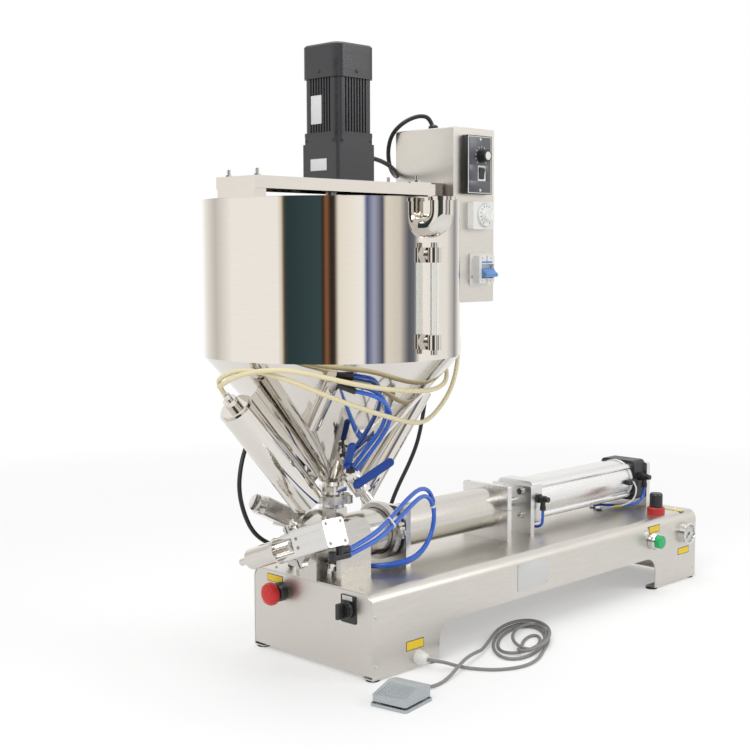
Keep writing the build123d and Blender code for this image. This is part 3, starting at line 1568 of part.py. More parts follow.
hood_half = pedal_length / 2 - pedal_floor - hood_gap
tread_slope = (hood_ridge - hood_lip) / (ridge_place - 2 + hood_half)
tread_length = ridge_place - 12 + hood_half
tread_middle = (ridge_place - 2 - hood_half) / 2
with BuildPart() as pedal_plate:
    hood_side = Plane(
        origin=pedal_plane.origin + pedal_across * hood_half_width,
        x_dir=pedal_along,
        z_dir=-pedal_across,
    )
    with BuildSketch(hood_side):
        with BuildLine():
            Polyline(
                (-hood_half, hood_bottom),
                (hood_half, hood_bottom),
                (hood_half, hood_rear - 3),
                (hood_half - 3, hood_rear),
                (ridge_place + 2, hood_ridge),
                (ridge_place - 2, hood_ridge),
                (-hood_half, hood_lip),
                close=True,
            )
        make_face()
    extrude(amount=2 * hood_half_width)
    add(
        block(
            pedal_plane,
            2 * hood_half,
            2 * hood_half_width,
            2 * hood_ridge,
            pedal_corner - pedal_floor,
        ),
        mode=Mode.INTERSECT,
    )
    tread = Plane(
        origin=pedal_plane.origin
        + pedal_along * tread_middle
        + Vector(0, 0, hood_lip + tread_slope * (tread_middle + hood_half)),
        x_dir=(pedal_along + Vector(0, 0, tread_slope)).normalized(),
        z_dir=(Vector(0, 0, 1) - pedal_along * tread_slope).normalized(),
    )
    with BuildSketch(tread):
        with GridLocations(1, rib_pitch, 1, rib_count):
            Rectangle(tread_length, rib_width)
    extrude(amount=rib_height, both=True)
    inner_side = Plane(
        origin=pedal_plane.origin + pedal_across * (hood_half_width - hood_wall),
        x_dir=pedal_along,
        z_dir=-pedal_across,
    )
    with BuildSketch(inner_side):
        with BuildLine():
            Polyline(
                (-hood_half + hood_wall, 0),
                (hood_half - hood_wall, 0),
                (hood_half - hood_wall, hood_rear - hood_wall - 2),
                (ridge_place, hood_ridge - hood_wall - 0.5),
                (-hood_half + hood_wall, hood_lip - hood_wall + 0.4),
                close=True,
            )
        make_face()
    extrude(amount=2 * (hood_half_width - hood_wall), mode=Mode.SUBTRACT)
    with BuildSketch(rear_wall.offset(-2 * hood_wall)):
        Rectangle(2 * rear_opening, 4 * bush_z)
    extrude(amount=4 * hood_wall, mode=Mode.SUBTRACT)
    with BuildSketch(pin_plane.offset(-1)):
        Circle(pin_radius + running_fit)
    extrude(amount=2 * hood_half_width + 2, mode=Mode.SUBTRACT)
pedal_plate.part.label = "pedal_plate"
export_step(pedal_plate.part, "parts/pedal_plate.step")

# Cords and tubes: straight runs joined by the largest arcs that they allow
cable_radius = 4
tube_radius = 4
lead_radius = 4
air_tube_radius = 3
sensor_radius = 1.6
pedal_cord_radius = 3


def cord(route, radius):
    """A plain round cord along a route, given from the front panel, centreline and floor."""
    points = [at(*point) for point in route]
    radii = []
    for before, corner, after in zip(points, points[1:], points[2:]):
        turn = radians((corner - before).get_angle(after - corner))
        shorter = min((corner - before).length, (after - corner).length)
        radii.append(0.45 * shorter / tan(turn / 2))
    with BuildPart() as solid:
        with BuildLine() as line:
            FilletPolyline(*points, radius=radii)
        with BuildSketch(Plane(origin=points[0], z_dir=points[1] - points[0])):
            Circle(radius)
        sweep(path=line.wires()[0])
    length = line.wires()[0].length
    share = solid.part.volume / (length * pi * radius**2)
    print("cord of radius", radius, "length", round(length), "volume share", round(share, 4))
    print("  arcs", [round(arc) for arc in radii])
    return solid.part


# Motor cable from the gearbox to the top of the control box
motor_route = (
    (gearbox_x + gearbox_side / 2, 6, 884),
    (152, 2, 884),
    (193, 2, 875),
    (230, 16, 864),
    (260, 38, 856),
    (281, 66, 858),
    (287, 86, 876),
    (284, 88, 908),
    (281, 74, 938),
    (294, 54, 960),
    (318, 36, 972),
    (334, 24, 966),
    (337, 20, box_top + 4),
)
with BuildPart() as motor_cable:
    add(cord(motor_route, cable_radius))
motor_cable.part.label = "motor_cable"
export_step(motor_cable.part, "parts/motor_cable.step")

# Heater lead from the front heater round the cone to the bottom of the control box
gland_reach = heater_start + heater_length + 34.5
gland_out = cone_neck + gland_reach * sin(cone_angle) + heater_offset * cos(cone_angle)
gland_up = cone_bottom + gland_reach * cos(cone_angle) - heater_offset * sin(cone_angle)
heater_route = (
    (hopper_x - gland_out, 0, gland_up),
    (hopper_x - gland_out - 15, -3, gland_up + 17),
    (-206, -18, 519),
    (-192, -46, 531),
    (-168, -84, 527),
    (-136, -120, 511),
    (-98, -152, 489),
    (-45, -173, 467),
    (14, -186, 447),
    (80, -168, 431),
    (154, -132, 424),
    (214, -108, 440),
    (262, -94, 470),
    (297, -78, 514),
    (322, -58, 562),
    (336, -36, 602),
    (338, -28, box_bottom + 5),
)
# Jumper lead between the two heaters round the near side of the cone
jumper_route = (
    (hopper_x + gland_out, 0, gland_up),
    (hopper_x + gland_out + 13, -6, gland_up + 15),
    (307, -30, 512),
    (278, -66, 506),
    (236, -106, 497),
    (186, -145, 488),
    (124, -175, 484),
    (52, -195, 489),
    (-19, -199, 498),
    (-72, -178, 509),
    (-118, -142, 524),
    (-158, -108, 533),
    (-190, -70, 529),
    (-208, -36, 514),
    (-203, -10, 502),
)
with BuildPart() as heater_leads:
    add(cord(heater_route, lead_radius))
    add(cord(jumper_route, lead_radius))
heater_leads.part.label = "heater_leads"
export_step(heater_leads.part, "parts/heater_leads.step")

# Power cables behind the machine, from the base to the control box
power_front_route = (
    (45, 100, base_top + 4),
    (42, 101, 168),
    (22, 104, 186),
    (-10, 106, 200),
    (-41, 105, 223),
    (-57, 110, 258),
    (-60, 120, 298),
    (-53, 124, 336),
    (-34, 132, 372),
    (2, 146, 402),
    (50, 162, 430),
    (104, 172, 456),
    (160, 170, 482),
    (212, 152, 508),
    (258, 122, 534),
    (298, 84, 560),
    (328, 48, 590),
    (340, 22, box_bottom + 5),
)
with BuildPart() as power_cable_front:
    add(cord(power_front_route, cable_radius))
power_cable_front.part.label = "power_cable_front"
export_step(power_cable_front.part, "parts/power_cable_front.step")

power_rear_route = (
    (288, 100, base_top + 4),
    (289, 100, 178),
    (300, 100, 220),
    (324, 100, 260),
    (354, 100, 298),
    (379, 99, 340),
    (388, 94, 388),
    (385, 82, 438),
    (376, 64, 490),
    (365, 42, 542),
    (356, 22, 590),
    (354, 10, box_bottom + 5),
)
with BuildPart() as power_cable_rear:
    add(cord(power_rear_route, cable_radius))
power_cable_rear.part.label = "power_cable_rear"
export_step(power_cable_rear.part, "parts/power_cable_rear.step")

# Twin air tubes that loop from the nozzle cylinder under the valve into the base
loop_route_a = (
    (-58, -160, 240),
    (0, -147, 246),
    (70, -122, 261),
    (134, -100, 283),
    (190, -84, 298),
    (222, -80, 286),
    (233, -80, 250),
    (225, -80, 206),
    (198, -80, 176),
    (162, -78, 164),
    (130, -62, 160),
    (110, -32, 160),
    (103, 1, base_top + 7),
)
loop_route_b = (
    (-58, -160, 230.5),
    (3, -151, 237),
    (73, -129, 252),
    (136, -108.5, 273),
    (186, -93, 286),
    (212, -89, 275),
    (223, -89, 246),
    (216, -89, 212),
    (192, -89, 185),
    (160, -87, 172),
    (124, -70, 166),
    (101, -36, 162),
    (93, -1, base_top + 7),
)
with BuildPart() as loop_tubes:
    add(cord(loop_route_a, tube_radius))
    add(cord(loop_route_b, tube_radius))
loop_tubes.part.label = "loop_tubes"
export_step(loop_tubes.part, "parts/loop_tubes.step")

# Twin air tubes of the knocker on the cone
cone_route_a = (
    (-58, -168, 505),
    (-34, -178, 500),
    (-8, -182, 486),
    (18, -170, 464),
    (36, -146, 436),
    (42, -118, 406),
    (42, -90, 378),
    (39, -68, 352),
)
cone_route_b = (
    (-60, -172.5, 496),
    (-37, -182.5, 491),
    (-9.5, -188.5, 478),
    (19, -177, 457),
    (39.5, -152, 429),
    (44, -124, 399.5),
    (44, -96, 371),
    (40, -74, 346),
)
with BuildPart() as cone_tubes:
    add(cord(cone_route_a, tube_radius - 0.5))
    add(cord(cone_route_b, tube_radius - 0.5))
cone_tubes.part.label = "cone_tubes"
export_step(cone_tubes.part, "parts/cone_tubes.step")

# Air tubes and sensor lead of the air cylinder, from its fittings into the base
flow_y = -air_cap_side / 2 - 12.5
flow_end = axis_height + flow_rise - 23
air_front_route = (
    (flow_front_x, flow_y, flow_end),
    (flow_front_x, flow_y, 179),
    (flow_front_x + 1, -54, 166),
    (flow_front_x + 3, -42, 160),
    (flow_front_x + 5, -26, 158.5),
    (flow_front_x + 6, -12, 158),
    (flow_front_x + 7, -6, base_top + 5),
)
air_rear_route = (
    (flow_rear_x, flow_y, flow_end),
    (flow_rear_x - 3, flow_y, 181),
    (flow_rear_x - 11, -55, 167),
    (922, -50, 160.5),
    (900, -34, 159),
    (884, -8, 158.5),
    (873, 14, 158),
    (870, 22, base_top + 5),
)
sensor_route = (
    (switch_x, -air_bore - barrel_wall - 10.5, axis_height + 2),
    (switch_x - 1, -61, 206),
    (switch_x - 5, -66, 191),
    (901, -61, 173),
    (888, -46, 162),
    (873, -25, 157.5),
    (862, -9, 156.5),
    (858, -4, base_top + 4.5),
)
with BuildPart() as air_tubes:
    add(cord(air_front_route, air_tube_radius))
    add(cord(air_rear_route, air_tube_radius))
    add(cord(sensor_route, sensor_radius))
air_tubes.part.label = "air_tubes"
export_step(air_tubes.part, "parts/air_tubes.step")

# Pedal cord on the floor: gland to coil, coil to pedal, and the loose coil between them
gland_tip = -base_width / 2 - 22
cord_out_route = (
    (gland_x, gland_tip, gland_z),
    (115, gland_tip - 13, gland_z),
    (131, -195, 16),
    (147, -202, 9),
    (160, -211, 4),
    (171, -230, 3),
    (188, -256, 3),
    (217, -275, 3),
    (250, -282, 3),
    (282, -276, 3),
    (307, -266, 3),
)
cord_back_route = (
    (250, -180, 8),
    (230, -187, 11),
    (208, -194, 13),
    (184, -202, 14.5),
    (160, -212, 14.5),
    (136, -221, 12),
    (110, -229, 6),
    (84, -236, 3),
    (62, -240, 3),
    (42, -241.5, 5),
    (26, -242, bush_z),
    (17.4, -242, bush_z),
)
coil_outline = (
    (396, -224),
    (427, -198),
    (454, -164),
    (467, -133),
    (461, -113),
    (430, -112),
    (383, -123),
    (342, -138),
    (308, -155),
    (278, -174),
    (252, -203),
    (240, -224),
    (238, -242),
    (257, -261),
    (288, -262),
    (328, -256),
    (362, -244),
)
coil_height = 16
with BuildPart() as pedal_cord:
    add(cord(cord_out_route, pedal_cord_radius))
    add(cord(cord_back_route, pedal_cord_radius))
pedal_cord.part.label = "pedal_cord"
export_step(pedal_cord.part, "parts/pedal_cord.step")

with BuildPart() as pedal_coil:
    with BuildSketch(level(0)):
        with BuildLine():
            Spline(*coil_outline, periodic=True)
        make_face()
    extrude(amount=coil_height)
pedal_coil.part.label = "pedal_coil"
export_step(pedal_coil.part, "parts/pedal_coil.step")
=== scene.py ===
import bmesh
import bpy
import json
from math import cos, pi, radians, sin
from mathutils import Matrix, Vector


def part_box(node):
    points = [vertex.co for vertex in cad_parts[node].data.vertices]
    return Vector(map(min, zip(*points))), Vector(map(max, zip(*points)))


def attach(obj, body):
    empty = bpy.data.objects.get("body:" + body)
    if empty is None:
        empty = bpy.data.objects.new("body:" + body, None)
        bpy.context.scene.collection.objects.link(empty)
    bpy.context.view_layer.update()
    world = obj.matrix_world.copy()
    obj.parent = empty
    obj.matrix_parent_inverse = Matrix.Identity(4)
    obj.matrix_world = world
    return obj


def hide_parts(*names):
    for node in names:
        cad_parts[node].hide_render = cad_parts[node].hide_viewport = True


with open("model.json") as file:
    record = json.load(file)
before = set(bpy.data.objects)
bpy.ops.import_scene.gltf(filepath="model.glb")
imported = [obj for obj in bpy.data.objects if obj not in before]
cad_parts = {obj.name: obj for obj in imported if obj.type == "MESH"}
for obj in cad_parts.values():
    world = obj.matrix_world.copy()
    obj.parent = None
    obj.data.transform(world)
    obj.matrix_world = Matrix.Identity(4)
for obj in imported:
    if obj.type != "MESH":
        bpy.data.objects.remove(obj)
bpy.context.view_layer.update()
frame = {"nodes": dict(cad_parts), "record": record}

# Places are given in millimetres from the front panel, the centreline of the base and the floor.
# The near side faces -Y and the front faces -X. The base cover's own box ties these places to the
# frame, which is in metres.
MM = 0.001
cover_low, cover_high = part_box("base_cover")
front_x = cover_low[0]
mid_y = (cover_low[1] + cover_high[1]) / 2
base_length = (cover_high[0] - cover_low[0]) / MM
half_width = (cover_high[1] - cover_low[1]) / MM / 2
base_top = cover_high[2] / MM


def place(x, y, z):
    """The frame's point for a place in millimetres."""
    return Vector((front_x + x * MM, mid_y + y * MM, z * MM))


def limits(node):
    """The places of a node's lowest and highest corner, in millimetres."""
    low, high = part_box(node)
    shift = Vector((front_x, mid_y, 0))
    return (Vector(low) - shift) / MM, (Vector(high) - shift) / MM


# Sockets of a Mix node that share their names: its two numbers, its two colours and its mixed colour
NUMBER_A = 2
NUMBER_B = 3
COLOUR_A = 6
COLOUR_B = 7
COLOUR_RESULT = 2

# The glossiest that a finish may get
LEAST_ROUGHNESS = 0.02

# Shader node groups, each built once and placed in the materials with its own values


def new_group(name, inputs, outputs):
    """An empty shader node group with its named sockets."""
    group = bpy.data.node_groups.new(name, "ShaderNodeTree")
    for label, kind, value in inputs:
        socket = group.interface.new_socket(name=label, in_out="INPUT", socket_type=kind)
        socket.default_value = value
    for label, kind in outputs:
        group.interface.new_socket(name=label, in_out="OUTPUT", socket_type=kind)
    return group, group.nodes.new("NodeGroupInput"), group.nodes.new("NodeGroupOutput")


def add_node(tree, kind, settings=None, inputs=None):
    """A node with its settings and its unlinked inputs."""
    made = tree.nodes.new(kind)
    for key, value in (settings or {}).items():
        setattr(made, key, value)
    for key, value in (inputs or {}).items():
        made.inputs[key].default_value = value
    return made


def build_grain_group():
    """Fine drawn lines: noise stretched by the scale of each axis."""
    group, entry, result = new_group(
        "drawn_grain",
        [("Scale", "NodeSocketVector", (40, 900, 900)), ("Detail", "NodeSocketFloat", 4.0)],
        [("Tone", "NodeSocketFloat"), ("Height", "NodeSocketFloat")],
    )
    spot = add_node(group, "ShaderNodeTexCoord")
    scaled = add_node(group, "ShaderNodeVectorMath", {"operation": "MULTIPLY"})
    lines = add_node(group, "ShaderNodeTexNoise", {}, {"Scale": 1.0, "Roughness": 0.6})
    tone = add_node(
        group, "ShaderNodeMapRange", {}, {"From Min": 0.3, "From Max": 0.7, "To Min": 0.0, "To Max": 1.0}
    )
    link = group.links.new
    link(spot.outputs["Object"], scaled.inputs[0])
    link(entry.outputs["Scale"], scaled.inputs[1])
    link(scaled.outputs[0], lines.inputs["Vector"])
    link(entry.outputs["Detail"], lines.inputs["Detail"])
    link(lines.outputs["Fac"], tone.inputs["Value"])
    link(tone.outputs["Result"], result.inputs["Tone"])
    link(lines.outputs["Fac"], result.inputs["Height"])
    return group


def build_marks_group():
    """Wiping and handling marks: soft patches with finer streaks in them."""
    group, entry, result = new_group(
        "wiping_marks",
        [("Size", "NodeSocketFloat", 6.0), ("Streaks", "NodeSocketFloat", 0.35)],
        [("Mask", "NodeSocketFloat")],
    )
    spot = add_node(group, "ShaderNodeTexCoord")
    patches = add_node(group, "ShaderNodeTexNoise", {}, {"Detail": 3.0, "Roughness": 0.55})
    stretch = add_node(
        group, "ShaderNodeVectorMath", {"operation": "MULTIPLY"}, {1: (14, 60, 150)}
    )
    streaks = add_node(group, "ShaderNodeTexNoise", {}, {"Scale": 1.0, "Detail": 2.0})
    mix = add_node(group, "ShaderNodeMix", {"data_type": "FLOAT"})
    shape = add_node(
        group, "ShaderNodeMapRange", {}, {"From Min": 0.35, "From Max": 0.65, "To Min": 0.0, "To Max": 1.0}
    )
    link = group.links.new
    link(spot.outputs["Object"], patches.inputs["Vector"])
    link(entry.outputs["Size"], patches.inputs["Scale"])
    link(spot.outputs["Object"], stretch.inputs[0])
    link(stretch.outputs[0], streaks.inputs["Vector"])
    link(entry.outputs["Streaks"], mix.inputs[0])
    link(patches.outputs["Fac"], mix.inputs[NUMBER_A])
    link(streaks.outputs["Fac"], mix.inputs[NUMBER_B])
    link(mix.outputs[0], shape.inputs["Value"])
    link(shape.outputs["Result"], result.inputs["Mask"])
    return group


def build_pebble_group():
    """Cast, moulded or hammered surface: small rounded cells over fine noise."""
    group, entry, result = new_group(
        "pebbled_surface",
        [("Cells", "NodeSocketFloat", 500.0), ("Fine", "NodeSocketFloat", 0.4)],
        [("Tone", "NodeSocketFloat"), ("Height", "NodeSocketFloat")],
    )
    spot = add_node(group, "ShaderNodeTexCoord")
    cells = add_node(group, "ShaderNodeTexVoronoi", {"feature": "SMOOTH_F1"})
    noise = add_node(group, "ShaderNodeTexNoise", {}, {"Detail": 4.0, "Roughness": 0.6})
    mix = add_node(group, "ShaderNodeMix", {"data_type": "FLOAT"})
    link = group.links.new
    link(spot.outputs["Object"], cells.inputs["Vector"])
    link(entry.outputs["Cells"], cells.inputs["Scale"])
    link(spot.outputs["Object"], noise.inputs["Vector"])
    link(entry.outputs["Cells"], noise.inputs["Scale"])
    link(entry.outputs["Fine"], mix.inputs[0])
    link(cells.outputs["Distance"], mix.inputs[NUMBER_A])
    link(noise.outputs["Fac"], mix.inputs[NUMBER_B])
    link(noise.outputs["Fac"], result.inputs["Tone"])
    link(mix.outputs[0], result.inputs["Height"])
    return group


grain_group = build_grain_group()
marks_group = build_marks_group()
pebble_group = build_pebble_group()


def put_group(tree, group, inputs=None):
    """One use of a shared node group."""
    return add_node(tree, "ShaderNodeGroup", {"node_tree": group}, inputs)


def surface(name, colour, roughness, texture, metallic, dark, spread, relief, depth=0.0002):
    """A finish: a texture group tones the colour and makes the relief, marks vary the gloss."""
    material = bpy.data.materials.new(name)
    material.use_nodes = True
    tree = material.node_tree
    shader = tree.nodes["Principled BSDF"]
    group, values = texture
    pattern = put_group(tree, group, values)
    marks = put_group(tree, marks_group)
    tones = add_node(tree, "ShaderNodeMix", {"data_type": "RGBA"})
    tones.inputs[COLOUR_A].default_value = (*[channel * dark for channel in colour], 1)
    tones.inputs[COLOUR_B].default_value = (*colour, 1)
    least_rough = max(LEAST_ROUGHNESS, roughness - spread)
    gloss = add_node(
        tree,
        "ShaderNodeMapRange",
        {},
        {"From Min": 0.0, "From Max": 1.0, "To Min": least_rough, "To Max": roughness + spread},
    )
    bump = add_node(tree, "ShaderNodeBump", {}, {"Strength": relief, "Distance": depth})
    link = tree.links.new
    link(pattern.outputs["Tone"], tones.inputs[0])
    link(tones.outputs[COLOUR_RESULT], shader.inputs["Base Color"])
    link(marks.outputs["Mask"], gloss.inputs["Value"])
    link(gloss.outputs["Result"], shader.inputs["Roughness"])
    link(pattern.outputs["Height"], bump.inputs["Height"])
    link(bump.outputs["Normal"], shader.inputs["Normal"])
    shader.inputs["Metallic"].default_value = metallic
    return material


lengthwise = (grain_group, {"Scale": (30, 900, 900)})
upright = (grain_group, {"Scale": (700, 700, 25)})
turned_x = (grain_group, {"Scale": (2200, 20, 20)})
turned_z = (grain_group, {"Scale": (20, 20, 2200)})
fine_mirror = (grain_group, {"Scale": (30, 30, 600)})
cast = (pebble_group, {"Cells": 420.0})
moulded = (pebble_group, {"Cells": 1400.0})
coarse_cast = (pebble_group, {"Cells": 260.0})

# Each finish: colour, roughness, texture, metallic, how dark its pattern goes, spread of the roughness,
# strength of the relief, and the depth of the relief in metres where it isn't the usual one
finish_table = {
    "brushed_sheet": ((0.66, 0.635, 0.59), 0.34, lengthwise, 1.0, 0.9, 0.05, 0.09),
    "polished_steel": ((0.68, 0.65, 0.61), 0.09, fine_mirror, 1.0, 0.95, 0.035, 0.01),
    "satin_steel": ((0.60, 0.575, 0.54), 0.26, lengthwise, 1.0, 0.88, 0.06, 0.07),
    "cast_clamp": ((0.60, 0.58, 0.55), 0.3, coarse_cast, 1.0, 0.85, 0.08, 0.2, 0.0004),
    "machined_aluminium": ((0.74, 0.735, 0.72), 0.3, upright, 1.0, 0.9, 0.05, 0.08),
    "anodised_profile": ((0.80, 0.80, 0.80), 0.28, lengthwise, 1.0, 0.93, 0.04, 0.05),
    "grey_cylinder": ((0.62, 0.62, 0.61), 0.36, cast, 1.0, 0.88, 0.05, 0.1),
    "screw_steel": ((0.66, 0.65, 0.63), 0.2, turned_z, 1.0, 0.85, 0.06, 0.03),
    "chromed_rod": ((0.78, 0.78, 0.78), 0.08, turned_x, 1.0, 0.95, 0.03, 0.01),
    "tube_steel": ((0.64, 0.615, 0.575), 0.2, turned_x, 1.0, 0.86, 0.05, 0.05),
    "gauge_chrome": ((0.72, 0.72, 0.71), 0.12, fine_mirror, 1.0, 0.95, 0.03, 0.01),
    "mirror_jacket": ((0.72, 0.69, 0.645), 0.05, fine_mirror, 1.0, 0.97, 0.02, 0.004),
    "bright_cast": ((0.74, 0.73, 0.71), 0.2, cast, 1.0, 0.9, 0.05, 0.06),
    "black_rubber": ((0.02, 0.02, 0.02), 0.75, cast, 0.0, 0.7, 0.08, 0.3, 0.0003),
    "black_caps": ((0.018, 0.02, 0.03), 0.38, cast, 0.0, 0.7, 0.08, 0.25, 0.0003),
    "black_fittings": ((0.02, 0.02, 0.022), 0.42, moulded, 0.0, 0.75, 0.06, 0.1),
    "black_gearbox": ((0.034, 0.035, 0.041), 0.33, cast, 0.0, 0.7, 0.08, 0.25, 0.0003),
    "black_motor": ((0.028, 0.029, 0.034), 0.31, cast, 0.0, 0.7, 0.08, 0.2, 0.0003),
    "black_collars": ((0.018, 0.018, 0.02), 0.3, moulded, 0.0, 0.8, 0.06, 0.08),
    "black_knob": ((0.016, 0.016, 0.018), 0.36, moulded, 0.0, 0.8, 0.07, 0.12),
    "screw_dark": ((0.05, 0.05, 0.05), 0.3, moulded, 0.6, 0.8, 0.06, 0.05),
    "module_grey": ((0.10, 0.105, 0.115), 0.32, moulded, 0.35, 0.85, 0.05, 0.05),
    "pedal_cast": ((0.46, 0.50, 0.515), 0.45, coarse_cast, 0.25, 0.8, 0.07, 0.35, 0.0004),
    "white_modules": ((0.76, 0.76, 0.74), 0.4, moulded, 0.0, 0.94, 0.06, 0.1),
    "white_seal": ((0.82, 0.82, 0.80), 0.45, turned_x, 0.0, 0.95, 0.05, 0.04),
    "white_band": ((0.74, 0.74, 0.71), 0.45, moulded, 0.0, 0.9, 0.05, 0.08),
    "red_head": ((0.62, 0.012, 0.01), 0.28, moulded, 0.0, 0.88, 0.06, 0.06),
    "red_ring": ((0.48, 0.02, 0.015), 0.35, moulded, 0.0, 0.85, 0.06, 0.08),
    "green_button": ((0.006, 0.42, 0.13), 0.28, moulded, 0.0, 0.85, 0.05, 0.06),
    "needle_red": ((0.02, 0.02, 0.02), 0.5, moulded, 0.0, 0.8, 0.05, 0.05),
    "dial_grey": ((0.30, 0.31, 0.33), 0.4, moulded, 0.0, 0.85, 0.06, 0.1),
    "dial_white": ((0.80, 0.80, 0.78), 0.5, moulded, 0.0, 0.96, 0.05, 0.03),
    "print_black": ((0.02, 0.02, 0.02), 0.55, moulded, 0.0, 0.8, 0.05, 0.03),
    "blue_toggle": ((0.10, 0.27, 0.60), 0.3, moulded, 0.0, 0.85, 0.05, 0.06),
    "blue_sleeve": ((0.008, 0.065, 0.34), 0.3, cast, 0.0, 0.8, 0.06, 0.15, 0.0003),
    "blue_tube": ((0.008, 0.12, 0.62), 0.22, moulded, 0.0, 0.85, 0.05, 0.04),
    "grey_cord": ((0.24, 0.235, 0.225), 0.5, moulded, 0.0, 0.85, 0.05, 0.12),
    "black_cord": ((0.012, 0.012, 0.013), 0.42, moulded, 0.0, 0.8, 0.06, 0.1),
    "cream_cord": ((0.74, 0.66, 0.42), 0.5, moulded, 0.0, 0.88, 0.06, 0.12),
    "clear_glass": ((0.95, 0.97, 0.96), 0.02, moulded, 0.0, 0.99, 0.0, 0.0),
    "pale_plate": ((0.66, 0.66, 0.66), 0.42, lengthwise, 0.0, 0.95, 0.05, 0.04),
    "name_plate_silver": ((0.62, 0.62, 0.61), 0.38, lengthwise, 0.55, 0.94, 0.05, 0.04),
    "label_yellow": ((0.80, 0.56, 0.012), 0.42, moulded, 0.0, 0.93, 0.05, 0.03),
    "yellow_sleeve": ((0.70, 0.50, 0.03), 0.4, moulded, 0.0, 0.9, 0.05, 0.08),
}
finishes = {name: surface(name, *values) for name, values in finish_table.items()}
shader_extras = {
    "blue_tube": {"Coat Weight": 0.4},
    "clear_glass": {"Transmission Weight": 1.0, "IOR": 1.45},
}
for name, sockets in shader_extras.items():
    for socket, value in sockets.items():
        finishes[name].node_tree.nodes["Principled BSDF"].inputs[socket].default_value = value

# Each node wears the finish of its slot in the record, apart from these
own_finish = {
    "material_tube": "tube_steel",
    "valve_housing": "tube_steel",
    "hopper_jacket": "mirror_jacket",
    "heater_tubes": "mirror_jacket",
    "crossbar": "polished_steel",
    "rotor_cylinder": "bright_cast",
    "nozzle_cylinder": "bright_cast",
    "thermostat_dial": "dial_white",
}
slot_finish = {row["node"]: row["material_slot"] for row in frame["record"]["subparts"]}
for node, carried in frame["nodes"].items():
    wanted = finishes[own_finish.get(node, slot_finish[node])]
    if not carried.material_slots:
        carried.data.materials.append(wanted)
    for material_slot in carried.material_slots:
        material_slot.material = wanted


def paint_rear_cap():
    """The air cylinder's front cap is bare metal: the paint starts past the middle of the barrel."""
    tree = finishes["black_caps"].node_tree
    shader = tree.nodes["Principled BSDF"]
    barrel_low, barrel_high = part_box("air_barrel")
    paint_start = (barrel_low[0] + barrel_high[0]) / 2
    spot = add_node(tree, "ShaderNodeTexCoord")
    split = add_node(tree, "ShaderNodeSeparateXYZ")
    rear = add_node(tree, "ShaderNodeMath", {"operation": "GREATER_THAN"}, {1: paint_start})
    front = add_node(tree, "ShaderNodeMath", {"operation": "SUBTRACT"}, {0: 1.0})
    coat = add_node(tree, "ShaderNodeMix", {"data_type": "RGBA"})
    coat.inputs[COLOUR_A].default_value = (0.70, 0.70, 0.69, 1)
    link = tree.links.new
    painted = shader.inputs["Base Color"].links[0].from_socket
    link(spot.outputs["Object"], split.inputs[0])
    link(split.outputs["X"], rear.inputs[0])
    link(rear.outputs[0], coat.inputs[0])
    link(painted, coat.inputs[COLOUR_B])
    link(coat.outputs[COLOUR_RESULT], shader.inputs["Base Color"])
    link(rear.outputs[0], front.inputs[1])
    link(front.outputs[0], shader.inputs["Metallic"])


paint_rear_cap()

# Helpers that make pieces.
# Degrees between two faces from which their edge shows sharp
SHARP_ANGLE = 35
# Steps across a rounded edge and round a tie, and the thickness of printed marks in millimetres
ROUNDING_STEPS = 2
TIE_STEPS = 32
MARK_THICKNESS = 0.5
# The ways that a piece may face
UPWARD = (0, 0, 1)
REARWARD = (1, 0, 0)
NEARWARD = (0, -1, 0)


def dress(name, mesh, finish, body="machine"):
    """Wraps a mesh as a piece of the machine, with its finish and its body."""
    mesh.materials.append(finishes[finish])
    mesh.shade_smooth()
    mesh.set_sharp_from_angle(angle=radians(SHARP_ANGLE))
    piece = bpy.data.objects.new(name, mesh)
    bpy.context.scene.collection.objects.link(piece)
    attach(piece, body)
    return piece


def close_mesh(name, bm):
    """Turns a bmesh into a mesh with outward normals."""
    bmesh.ops.recalc_face_normals(bm, faces=bm.faces)
    mesh = bpy.data.meshes.new(name)
    bm.to_mesh(mesh)
    bm.free()
    return mesh


def turn_to(axis):
    """A rotation that takes +Z to an axis."""
    return Vector(axis).normalized().to_track_quat("Z", "Y").to_matrix().to_4x4()


def rod_outline(radius, low, high):
    """The outline of a plain round rod, for a turned form."""
    return (0, low), (radius, low), (radius, high), (0, high)


def ring_outline(inner, outer, low, high):
    """The outline of a plain ring, for a turned form that is ring shaped."""
    return (inner, low), (outer, low), (outer, high), (inner, high)


def add_turned(bm, origin, axis, outline, segments, ring_shaped=False):
    """Adds a turned form, its outline as radius and height along the axis, in millimetres.

    A ring-shaped form's outline closes on itself, and any other form is closed at both its ends.
    """
    to_place = Matrix.Translation(origin) @ turn_to(axis)
    rings = []
    for radius, height in outline:
        if radius == 0:
            rings.append([bm.verts.new(to_place @ Vector((0, 0, height * MM)))])
            continue
        ring = []
        for step in range(segments):
            turn = 2 * pi * step / segments
            spot = Vector((radius * cos(turn), radius * sin(turn), height)) * MM
            ring.append(bm.verts.new(to_place @ spot))
        rings.append(ring)
    ends = [] if ring_shaped else [rings[0], rings[-1]]
    if ring_shaped:
        rings.append(rings[0])
    for lower, upper in zip(rings, rings[1:]):
        for step in range(segments):
            after = (step + 1) % segments
            corners = [
                lower[step % len(lower)],
                lower[after % len(lower)],
                upper[after % len(upper)],
                upper[step % len(upper)],
            ]
            corners = list(dict.fromkeys(corners))
            if len(corners) > 2:
                bm.faces.new(corners)
    for ring in ends:
        if len(ring) > 2:
            bm.faces.new(ring)


